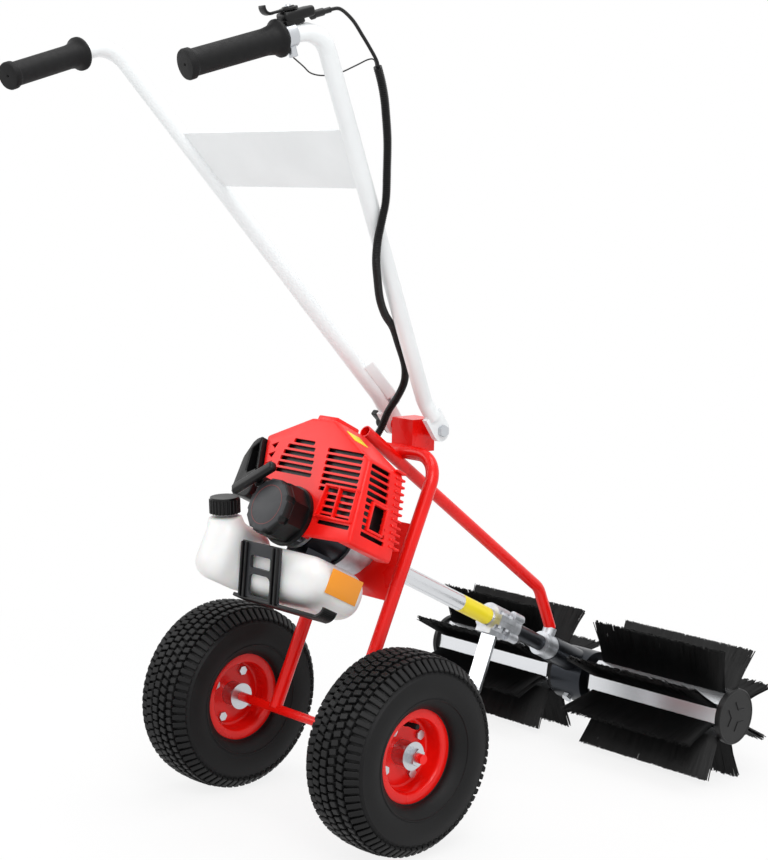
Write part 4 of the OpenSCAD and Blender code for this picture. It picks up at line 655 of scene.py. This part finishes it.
# Bars of the loop: place across, place up, width, height and lean in degrees
LOOP_BARS = ((48.5, 29, 3.4, 44, 4), (79, 31, 3.4, 46, -6), (113, 30, 3.4, 44, -8), (80, 52.5, 66, 3.6, 0),
             (83, 9, 66, 3.6, 0))
RAIL_X, FIN_X, FIN_UP, FIN_BACK, FIN_SLOPE = 123.2, 120.5, 3.5, 36, 0.2
raised = [cover]
for x, up, wide, high, lean in LOOP_BARS:
    raised.append(put(block("loop_bar", (wide / 1000, 0.007, high / 1000), 0.0012, 2),
                      lying(x, COVER_REAR - 1.5, up) @ spun(lean, "Y")))
for up in (10, 47):
    raised.append(put(block("window_rail", (0.006, 0.031, 0.0036), 0.001, 2),
                      lying(RAIL_X - SIDE_SLOPE * up, WINDOW_BACK, up) @ SIDE_TILT))
for back in (-22, 6):
    raised.append(put(block("window_post", (0.006, 0.0036, 0.040), 0.001, 2),
                      lying(118.5, back, WINDOW_UP) @ SIDE_TILT))
for row in range(ROWS_UP):
    up = FIN_UP + ROW * row
    raised.append(put(block("front_fin", (0.010, 0.018, 0.0032), 0.0008),
                      lying(FIN_X - SIDE_SLOPE * up, FIN_BACK - FIN_SLOPE * up, up) @ SIDE_TILT))
raised.append(put(block("ridge_lug", (0.040, 0.046, 0.012), 0.003, 2), lying(-6, -20, 143)))
cover = joined(raised)
put(cover, drive)
fit(cover, red_abs, "frame", "red_plastic", "shroud")

# A black sheet stands a little way inside the cover as painted shade: it makes the louvres and the muffler
# window read dark inside
SHADE_SHEET_WALL, SHADE_SHEET_IN, SHADE_SHEET_FRONT = 0.0012, 7, 24
MID_X, MID_UP, SHARE_X, SHARE_UP = 8, 60, 0.9, 0.92
shade_sheet_line = [(MID_X + SHARE_X * (x - MID_X), MID_UP + SHARE_UP * (up - MID_UP)) for x, up in COVER]
shade_sheet = raked(slab("painted_shade_sheet", shade_sheet_line, COVER_REAR + SHADE_SHEET_IN, SHADE_SHEET_FRONT), SHADE_SHEET_FRONT)
shaped(shade_sheet, "SOLIDIFY", thickness=SHADE_SHEET_WALL, offset=-1.0)
cut(shade_sheet, [put(block("fan_well", (0.084, 0.03, 0.084), 0.036, 6), lying(0, COVER_REAR + SHADE_SHEET_IN, 0)),
             put(block("shade_sheet_foot", FOOT, FOOT_EDGE), lying(*FOOT_AT))])
put(shade_sheet, drive)
fit(shade_sheet, black_abs, "frame", "dark_steel")

# Blank foil patch on the cover's ridge, left bare
RIDGE_FALL = math.atan2(COVER[3][1] - COVER[2][1], COVER[2][0] - COVER[3][0])
ridge_foil = put(block("ridge_foil", (0.026, 0.026, 0.0012), 0.0005, 2),
                 drive @ lying(52, -30, 126.1) @ Matrix.Rotation(RIDGE_FALL, 4, "Y"))
fit(ridge_foil, foil, "frame", "red_plastic")

# Air filter
# A moulded box of black ABS close against the cover's left side, with a deep intake mouth to the rear. The
# duct that would hold it to the carburettor is hidden.
FILTER = ((-92, 22), (-92, 45), (-96.6, 64), (-109, 101.5), (-111, 101), (-119, 97.2), (-124, 91.5),
          (-132.4, 69.5), (-133, 66), (-133, 22), (-131, 16), (-126, 12.6), (-123, 12), (-102, 12), (-96, 14),
          (-92.8, 18))
MOUTH = ((-99, 55), (-113.5, 47), (-117, 50.5), (-121, 80.5), (-119.5, 83.5), (-111, 92.8), (-107.6, 91),
         (-98, 58))
FILTER_BACK, FILTER_AHEAD, MOUTH_BACK, MOUTH_AHEAD = 7, 37, 12, 10
FILTER_EDGE, FILTER_CORNER = 0.0025, math.radians(40)
filter_box = slab("filter_box", FILTER, COVER_REAR - FILTER_BACK, COVER_REAR + FILTER_AHEAD)
cut(filter_box, [slab("filter_mouth", MOUTH, COVER_REAR - MOUTH_BACK, COVER_REAR + MOUTH_AHEAD)])
shaped(filter_box, "BEVEL", width=FILTER_EDGE, segments=3, limit_method="ANGLE", angle_limit=FILTER_CORNER)
fit(put(filter_box, drive), black_abs, "frame", "black_plastic", "air_filter_box")

# Starter
# The recoil starter is moulded ABS: an eight-sided black housing on a round flange, and a dark grey face
# plate with notched corners and a fine red ring. The pull bar's cord comes out of an eyelet.
grey_abs, shader, at = finish("grey_black_abs", "#2B2C2F", Roughness=0.42, Specular_IOR_Level=0.3)
relief(shader, noise(at, 1400.0, 2.0), 0.12, 0.0004)
gloss(shader, noise(at, 40.0, 3.0), 0.32, 0.48)
STARTER_REAR = -94
PULL_X, PULL_BACK, PULL_UP, PULL_LEAN = -33, -104, 30, -36
FACE = ((TIP, 0.4), (33.6, 0.4), (34.8, 0.1), (35.6, -0.8), (35.6, -1.6), (TIP, -1.6))
HOUSING = ((TIP, -0.8), (35.4, -0.8), (36.4, -1.2), (37.0, -2.2), (37.0, -12.8), (37.3, -13.2), (37.3, -40.2),
           (42.0, -40.6), (42.0, -46.7), (30.0, -46.7), (30.0, -20.0), (TIP, -20.0))
EYELET = ((4.3, 0), (8.0, 0), (8.5, -0.5), (8.5, -46.7), (4.3, -46.7), (4.3, 0))
FACE_FLAT, NOTCH_FROM, NOTCH_IN, RIM_FROM = math.radians(45), math.radians(16), 0.985, 0.032
NOTCH_TO, FLATS_TO, FACE_STEPS = -13, -40.4, 96


def eight_sided(piece, notch_to, flats_to):
    """Pulls a round piece's rim out to eight flats, with its corners notched as far as the first depth."""
    for vertex in piece.data.vertices:
        reach = math.hypot(vertex.co.x, vertex.co.y)
        if reach > RIM_FROM and vertex.co.z > flats_to / 1000:
            off = abs((math.atan2(vertex.co.y, vertex.co.x) + FACE_FLAT / 2) % FACE_FLAT - FACE_FLAT / 2)
            notched = vertex.co.z > notch_to / 1000 and off > NOTCH_FROM
            spread = NOTCH_IN if notched else 1 / math.cos(off)
            vertex.co.x *= spread
            vertex.co.y *= spread
    return piece


starter = drive @ lying(0, STARTER_REAR, 0) @ spun(90, "X")
housing = eight_sided(turned("starter_body", HOUSING, FACE_STEPS), NOTCH_TO, FLATS_TO)
eyelet = put(turned("starter_eyelet", EYELET, 32), lying(PULL_X, PULL_UP, 0))
fit(put(joined([housing, eyelet]), starter), black_abs, "frame", "black_plastic", "starter_housing")
face_plate = eight_sided(turned("starter_face", FACE, FACE_STEPS), NOTCH_TO, NOTCH_TO)
fit(put(face_plate, starter), grey_abs, "frame", "black_plastic")
RING = ((27.0, 0.42), (27.0, 0.62), (27.9, 0.62), (27.9, 0.42), (27.0, 0.42))
ring = turned("starter_ring", RING, ROUND_STEPS)
# Dull red ink of the ring, thin enough to let the plastic's grain through
ink, shader, at = finish("dull_red_ink", "#6A2422", Roughness=0.45)
gloss(shader, noise(at, 1400.0, 2.0), 0.4, 0.55)
fit(put(ring, starter), ink, "frame", "black_plastic")
STEM = ((TIP, 0), (6.4, 0), (5.2, 5.0), (4.0, 7.0), (4.0, 16.0), (TIP, 16.0))
pull = [put(block("pull_bar", (0.076, 0.0125, 0.0135), 0.0045, 4), spun(PULL_LEAN, "Y")),
        put(turned("pull_stem", STEM, 24), spun(-90, "X"))]
pull_bar = put(joined(pull), drive @ lying(PULL_X, PULL_BACK, PULL_UP))
fit(pull_bar, black_abs, "starter_handle", "black_plastic", "starter_handle")
# Its cord, wound up inside the housing at rest, shows as a short fixed piece from the eyelet to the handle
CORD_BACK, CORD_L = -92, 24
CORD = ((TIP, 0), (1.6, 0), (1.6, CORD_L), (TIP, CORD_L))
cord_place = drive @ lying(PULL_X, CORD_BACK, PULL_UP)
pull_cord = put(turned("pull_cord", CORD, 16), cord_place @ spun(-90, "X"))
fit(pull_cord, black_abs, "starter_handle", "black_plastic")
pull_cord.parent = None
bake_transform(pull_cord)

# Spark plug
# A bought plug, screwed into the cylinder head under the cover. Its insulator is white porcelain under a hard
# clear glaze.
glaze, shader, at = finish("glazed_porcelain", "#ECECE8", Roughness=0.15)
gloss(shader, noise(at, 200.0, 2.0), 0.1, 0.25)
dress(glaze, "spark_plug")

# Fuel tank
# A bottle blown from natural polythene: milky, waxy and slightly see-through, with soft edges. It hangs under
# the engine on a foot of the crankcase.
polythene, shader, at = finish("natural_polythene", "#EDEDEC", Roughness=0.36, Subsurface_Weight=0.2,
                               Subsurface_Scale=0.01)
cloud = noise(at, 18.0, 4.0)
tinted(shader, cloud, "#E6E6E5", "#F0F0EF")
relief(shader, noise(at, 160.0, 2.0), 0.08, 0.001)
dress(polythene, "fuel_tank")

# The tank's blown shape: a main bottle under the engine, a lobe at the left rear and the filler's neck, all
# melted into one
TANK_BACK, TANK_TOP, TANK_HIGH, TANK_FALL = -66, -43, 75, 16
NECK = ((TIP, -52), (23, -52), (25, -30), (25, -6), (23, 0), (TIP, 0))
VOXEL = 0.0032
TANK_X, TANK_Y, TANK_Z = 14, -7, -80.5
BELLY_X, BELLY_Z, BELLY_RISE = 0.02, -0.08, 0.16
bottle = put(block("tank_bottle", (0.168, 0.118, 0.075), 0.027, 6), lying(TANK_X, TANK_Y, TANK_Z))
for vertex in bottle.data.vertices:
    if vertex.co.y < TANK_Y / 1000:
        vertex.co.y += TANK_FALL / TANK_HIGH * (TANK_TOP / 1000 - vertex.co.z)
    if vertex.co.z < BELLY_Z and vertex.co.x > BELLY_X:
        vertex.co.z += BELLY_RISE * (vertex.co.x - BELLY_X)
lobe = put(block("tank_lobe", (0.058, 0.098, 0.088), 0.024, 6), lying(-75, -55, -70))
neck = put(turned("tank_neck", NECK, 48), lying(-84, -85, -26) @ spun(30, "X"))
bottle = joined([bottle, lobe, neck])
bottle.name = "tank_bottle"
shaped(bottle, "REMESH", mode="VOXEL", voxel_size=VOXEL)
shaped(bottle, "SMOOTH", factor=0.5, iterations=12)
put(bottle, drive)
fit(bottle, polythene, "frame", "tank_plastic", "fuel_tank")

# Tank trim
# A moulded strap with raised rails runs down the tank's rear, above a skid with an upturned end. A blank
# orange vinyl patch is glued on the tank's right face.
orange, shader, at = finish("orange_vinyl_foil", "#F59A1B", Roughness=0.38)
gloss(shader, noise(at, 70.0, 3.0), 0.3, 0.48)
tank_foil = put(block("tank_foil", (0.0012, 0.060, 0.034), 0.0005, 2), drive @ lying(98.0, -1, -68))
fit(tank_foil, orange, "frame", "tank_plastic")

dress(grey_abs, "tank_guard")
STRAP_BEND, STRAP_OFF, STRAP_UP, STRAP_L = 18, 6, 21, 77
SKID_BACK, SKID_UP = -37, -120.7
STRAP_TILT = math.atan2(TANK_FALL, TANK_HIGH - 2 * STRAP_BEND)
strap = (drive @ lying(0, TANK_BACK + STRAP_BEND, TANK_TOP - STRAP_BEND) @ Matrix.Rotation(STRAP_TILT, 4, "X")
         @ lying(0, -STRAP_BEND - STRAP_OFF, STRAP_UP - STRAP_L))
tank_strap = put(block("tank_strap", (0.080, 0.0045, STRAP_L / 1000), 0.0016, 2), lying(0, 2.2, STRAP_L / 2))
windows = []
for wide, high, up, rounding in ((41, 17, 51.5, 0.003), (44, 30, 20, 0.008)):
    window = block("strap_window", (wide / 1000, 0.02, high / 1000), rounding, 4)
    windows.append(put(window, lying(0.5, 2.2, up)))
cut(tank_strap, windows)
put(tank_strap, strap)
fit(tank_strap, grey_abs, "frame", "black_plastic", "tank_guard")
rails = [put(block("skid_rail", (0.168, 0.026, 0.005), 0.0012, 2), drive @ lying(32, SKID_BACK, SKID_UP))]
for x in (-36.5, -28, 28, 36.5):
    rail = block("strap_rail", (0.0042, 0.006, 0.075), 0.0014, 2)
    rails.append(put(rail, strap @ lying(x, -0.6, STRAP_L / 2)))
HOOK_X, HOOK_RISE, HOOK_R, HOOK_STEPS = 112, 90, 14, 10
for step in range(HOOK_STEPS):
    turn = math.radians(HOOK_RISE * (step + 0.5) / HOOK_STEPS)
    bend = lying(HOOK_X + HOOK_R * math.sin(turn), SKID_BACK, SKID_UP + HOOK_R * (1 - math.cos(turn)))
    hook = block("skid_hook", (0.0036, 0.026, 0.0046), 0.001, 1)
    rails.append(put(hook, drive @ bend @ Matrix.Rotation(-turn, 4, "Y")))
skid = joined(rails)
fit(skid, black_abs, "frame", "black_plastic", "tank_guard")

# Handle
# Two bent steel arms and a sheet panel between them, all powder coated white. They fold together on the pivot
# bolt, and a wing knob clamps them at their angle.
white_coat, shader, at = finish("white_powder_coat", "#EFEFEF", Roughness=0.32, Coat_Weight=0.15,
                                Coat_Roughness=0.12)
cloud = noise(at, 12.0, 4.0)
tinted(shader, cloud, "#E9ECED", "#EFF2F3")
gloss(shader, cloud, 0.26, 0.36)
dress(white_coat, "arm_left", "arm_right", "cross_panel")

# A short pressed channel and a steel sleeve stiffen the left arm's knee
ARM_DIR = Vector((-0.2702, -0.5698, 0.7761))
OUTER = Vector((0.487, 0.615, 0.621))
knee = Vector((-0.047, 0.158 + AXLE_Y, 0.574))
CHANNEL_UP, CHANNEL_OUT, SLEEVE_UP, SLEEVE_OUT = 0.018, 0.0150, -0.017, 0.0125
knee_side = ARM_DIR.cross(OUTER).normalized()
knee_lie = Matrix((OUTER, knee_side, ARM_DIR)).transposed().to_4x4()
channel = put(block("knee_channel", (0.017, 0.020, 0.060), 0.0025, 3),
              Matrix.Translation(knee + CHANNEL_UP * ARM_DIR + CHANNEL_OUT * OUTER) @ knee_lie)
fit(channel, white_coat, "handle", "white_paint")
SLEEVE = ((TIP, -9), (7.4, -9), (8, -8.4), (8, 8.4), (7.4, 9), (TIP, 9))
sleeve = put(turned("knee_sleeve", SLEEVE, 32),
             Matrix.Translation(knee + SLEEVE_UP * ARM_DIR + SLEEVE_OUT * OUTER) @ knee_lie)
fit(sleeve, zinc, "handle", "zinc_steel")

# The wing knob on the pivot bolt's left end, which clamps the handle at its angle
KNOB = ((TIP, 15.5), (5.5, 15.5), (5.5, 0), (7.6, 0), (8.5, 0.9), (8.5, 24.4), (7, 26), (TIP, 26))
KNOB_TURN, KNOB_AT = -0.75, (-51.3, 190 + 1000 * AXLE_Y, 531)
knob = [turned("wing_knob", KNOB, 36)]
for side in (-1, 1):
    knob.append(put(block("knob_wing", (0.009, 0.0165, 0.0150), 0.0025, 3), lying(0, side * 14.8, 17.6)))
wing_knob = put(joined(knob), lying(*KNOB_AT) @ Matrix.Rotation(KNOB_TURN, 4, "X") @ spun(-90, "Y"))
fit(wing_knob, black_abs, "lock_knob", "black_plastic", "lock_knob")

# Grips
# Moulded rubber sleeves pushed over the arms' ends: a flared flange for the thumb, five rows of raised pads
# and a thicker end disc with a small vent. The rubber is matt, with a dusty bloom.
rubber, shader, at = finish("black_grip_rubber", "#0F0F10", Roughness=0.62, Specular_IOR_Level=0.25)
gloss(shader, noise(at, 120.0, 4.0), 0.52, 0.74)
relief(shader, noise(at, 1200.0, 2.0), 0.2, 0.0004)
dress(rubber, "grip_left", "grip_right", "control_cables", "cable_conduit")

GRIP_DIR = Vector((-0.1494, -0.9430, -0.2974))
ARM_TOP = Vector((0.212, -0.190 + AXLE_Y, 1.048))
GRIP_BACK, GRIP_BORE = 0.057, 0.012
PADS = [(22 + 19 * i, 38 + 19 * i) for i in range(5)]
GRIP = [(11.3, 0), (20.6, 0), (21.5, 0.9), (21.5, 3.6), (20.7, 4.8), (18.7, 6.6), (17.1, 9.6), (16.0, 14),
        (15.1, 20)] + [(14.9, z) for pad in PADS for z in pad] + [
        (15.1, 116.5), (15.8, 118.4), (17.2, 119.6), (17.3, 125.2), (16.5, 126.8), (15.2, 127.0),
        (2.4, 126.8), (1.8, 126.2), (1.8, 121.0), (TIP, 121.0)]
PAD_STEPS, PAD_HIGH, PAD_EVERY = 48, 0.0006, 6
grip_right = turned("grip_sleeve_right", GRIP, PAD_STEPS)
for patch in grip_right.data.polygons:
    x, y, z = patch.center
    in_row = any(low / 1000 < z < high / 1000 for low, high in PADS) and math.hypot(x, y) > GRIP_BORE
    step = int((math.atan2(y, x) % (2 * math.pi)) / (2 * math.pi) * PAD_STEPS)
    patch.select = in_row and step % PAD_EVERY != PAD_EVERY - 1
bpy.ops.object.mode_set(mode="EDIT")
bpy.ops.mesh.select_mode(type="FACE")
bpy.ops.mesh.extrude_region_shrink_fatten(TRANSFORM_OT_shrink_fatten={"value": PAD_HIGH})
bpy.ops.object.mode_set(mode="OBJECT")
grip_left = twin(grip_right, "grip_sleeve_left")
for piece, side, node in ((grip_right, 1, "grip_right"), (grip_left, -1, "grip_left")):
    mirror = Vector((side, 1, 1))
    grip_lie = (GRIP_DIR * mirror).to_track_quat("Z", "Y").to_matrix().to_4x4()
    put(piece, Matrix.Translation((ARM_TOP + GRIP_BACK * GRIP_DIR) * mirror) @ grip_lie)
    fit(piece, rubber, "handle", "black_rubber", node)

# Throttle
# A moulded thumb throttle clamped on the right arm just ahead of its grip: a flat disc with a curled lever, a
# screw through its middle and a small steel clamp below for the stop wire.
upward = (Vector((0, 0, 1)) - GRIP_DIR * GRIP_DIR.z).normalized()
throttle_lie = Matrix((-GRIP_DIR, upward.cross(-GRIP_DIR), upward)).transposed().to_4x4()
THROTTLE_BACK = 0.045
throttle = Matrix.Translation(ARM_TOP + THROTTLE_BACK * GRIP_DIR) @ throttle_lie
LEVER_X, LEVER_Z, LEVER_MID, LEVER_REACH = 8, 27.3, 1.5, 16
CURL_FROM, CURL_R, CURL_STEPS, CURL_STEP = 25.5, 8.0, 9, 12
DISC = ((2.6, 0), (10.6, 0), (11.2, 0.5), (11.2, 2.4), (10.4, 3.2), (7.6, 3.2), (7.2, 4.4), (4.4, 4.4),
        (2.6, 4.2), (2.6, 0))
lever = [put(turned("thumb_lever", DISC, 40), lying(LEVER_X, 0, LEVER_Z)),
         put(block("lever_arm", (0.020, 0.011, 0.003), 0.001, 2),
             lying(LEVER_X - LEVER_REACH, 0, LEVER_Z + LEVER_MID))]
for step in range(CURL_STEPS):
    rise = math.radians(CURL_STEP * step)
    bend = lying(LEVER_X - CURL_FROM - CURL_R * math.sin(rise), 0,
                 LEVER_Z + LEVER_MID + CURL_R * (1 - math.cos(rise)))
    curl = block("lever_curl", (0.0046, 0.0125, 0.0032), 0.0009, 2)
    lever.append(put(curl, bend @ Matrix.Rotation(rise, 4, "Y")))
thumb_lever = put(joined(lever), throttle)
fit(thumb_lever, black_abs, "throttle_lever", "black_plastic", "throttle_lever")
COLLAR = ((11.3, -7), (13.6, -7), (14.3, -6.3), (14.3, 6.3), (13.6, 7), (11.3, 7), (11.3, -7))
SOCKET = ((TIP, 0), (5.6, 0), (5.6, 4), (4.6, 6), (4.6, 17), (3.4, 19), (3.4, 27.5), (TIP, 27.5))
BOSS = ((TIP, 0), (4.6, 0), (5.4, 0.8), (5.4, 14), (TIP, 14))
endwise = spun(90, "Y")
body = [put(block("throttle_body", (0.042, 0.023, 0.0125), 0.004, 4), lying(16, 0, 20.4)),
        put(block("throttle_saddle", (0.026, 0.020, 0.008), 0.002, 2), lying(8, 0, 13.8)),
        put(turned("throttle_socket", SOCKET, 28), lying(35.5, 0, 15.2) @ endwise)]
throttle_body = put(joined(body), throttle)
fit(throttle_body, black_abs, "handle", "black_plastic", "throttle_housing")
grasp = [put(turned("throttle_clamp", COLLAR, 40), endwise),
         put(turned("throttle_boss", BOSS, 28), lying(0, 0, -25))]
fit(put(joined(grasp), throttle), zinc, "handle", "zinc_steel", "throttle_housing")
SCREW = ((TIP, 6.6), (2.6, 6.6), (3.6, 6.0), (4.0, 4.9), (4.0, 4.5), (TIP, 4.5))
screw = put(turned("throttle_screw", SCREW, 24), throttle @ lying(LEVER_X, 0, LEVER_Z))
fit(screw, zinc, "handle", "zinc_steel")

# Cables
# The throttle cable and the thin stop wire run from the right grip into one ribbed polythene conduit, which
# hangs down along the arm and ends behind the engine plate.
THROTTLE_CABLE = ((214, -177, 1068), (214, -162, 1070), (208, -137, 1060), (201, -114, 1044),
                  (197, -98, 1031), (195.1, -85.3, 1017.9), (193, -79.9, 1009.8), (191.3, -75.5, 1003.3))
STOP_WIRE = ((206, -225, 1010), (200, -205, 1002), (190, -185, 996), (182, -160, 995), (182, -135, 999),
             (186, -110, 1010), (190, -94, 1018), (191.7, -85.7, 1018.3), (189.8, -80.3, 1010.4),
             (188, -75.9, 1003.9))
CONDUIT = ((192, -80, 1010), (188, -70, 995), (184, -61, 978), (180, -54, 961), (172, -42, 925),
           (165, -35, 888), (158, -29, 851), (154, -31, 826), (145, -29, 801), (132, -19, 775),
           (115, 0, 749), (98, 21, 722), (81, 47, 700), (63, 79, 681), (47, 106, 655), (34, 130, 628),
           (25, 141, 609), (17, 145, 594), (7, 144, 577), (-8, 141, 555), (-20, 138, 528),
           (-25, 118, 500), (-25, 102, 475), (-22, 88, 450), (-22, 81, 435), (-22, 74, 420))


def along(route, count):
    """Evenly spaced points on a smooth curve through a route in millimetres from the axle."""
    knots = [Vector((x / 1000, y / 1000 + AXLE_Y, z / 1000)) for x, y, z in route]
    curve = []
    for i in range(len(knots) - 1):
        a, b, c, d = knots[max(i - 1, 0)], knots[i], knots[i + 1], knots[min(i + 2, len(knots) - 1)]
        for step in range(SPLINE_STEPS):
            f = step / SPLINE_STEPS
            bow = (2 * a - 5 * b + 4 * c - d) + f * (3 * (b - c) + d - a)
            curve.append(b + 0.5 * f * ((c - a) + f * bow))
    curve.append(knots[-1])
    runs = [0.0]
    for a, b in zip(curve, curve[1:]):
        runs.append(runs[-1] + (b - a).length)
    even, k = [], 0
    for i in range(count + 1):
        want = runs[-1] * i / count
        while k < len(runs) - 2 and runs[k + 1] < want:
            k += 1
        even.append(curve[k].lerp(curve[k + 1], (want - runs[k]) / (runs[k + 1] - runs[k])))
    return even, runs[-1]


def hose(name, path, radii, sides):
    """A closed tube round a path, with its own radius at each point."""
    last = len(path) - 1
    points, faces = [], []
    across = None
    for i, (centre, radius) in enumerate(zip(path, radii)):
        ahead = (path[min(i + 1, last)] - path[max(i - 1, 0)]).normalized()
        across = ahead.orthogonal() if across is None else across - ahead * across.dot(ahead)
        across.normalize()
        other = ahead.cross(across)
        for k in range(sides):
            turn = 2 * math.pi * k / sides
            points.append(centre + radius * (math.cos(turn) * across + math.sin(turn) * other))
        if i < last:
            faces += [(i * sides + k, i * sides + (k + 1) % sides, (i + 1) * sides + (k + 1) % sides,
                       (i + 1) * sides + k) for k in range(sides)]
    faces += [tuple(range(sides))[::-1], tuple(last * sides + k for k in range(sides))]
    mesh = bpy.data.meshes.new(name)
    mesh.from_pydata(points, [], faces)
    piece = bpy.data.objects.new(name, mesh)
    scene.collection.objects.link(piece)
    return piece


# Polythene conduit: waxy black, with a crest every three millimetres
conduit_skin, shader, at = finish("black_polythene_conduit", "#0C0C0D", Roughness=0.4, Specular_IOR_Level=0.3)
gloss(shader, noise(at, 60.0, 3.0), 0.3, 0.5)
RIB_PITCH, RIB_DEPTH, RIBBED_L = 0.003, 0.0009, 0.9
CONDUIT_R, HOSE_SIDES, SPLINE_STEPS, CABLE_STEPS = 0.0055, 12, 8, 48
centres, conduit_l = along(CONDUIT, 4 * round(RIBBED_L / RIB_PITCH))
radii = [CONDUIT_R - (0, RIB_DEPTH, RIB_DEPTH, 0)[i % 4] for i in range(len(centres))]
conduit = hose("ribbed_conduit", centres, radii, HOSE_SIDES)
fit(conduit, conduit_skin, "handle", "black_plastic", "cable_conduit")
conduit.parent = None
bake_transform(conduit)

for name, route, radius in (("throttle_cable", THROTTLE_CABLE, 0.0022), ("stop_wire", STOP_WIRE, 0.0009)):
    centres, length = along(route, CABLE_STEPS)
    piece = hose(name, centres, [radius] * len(centres), HOSE_SIDES)
    fit(piece, conduit_skin, "handle", "black_plastic", "control_cables")
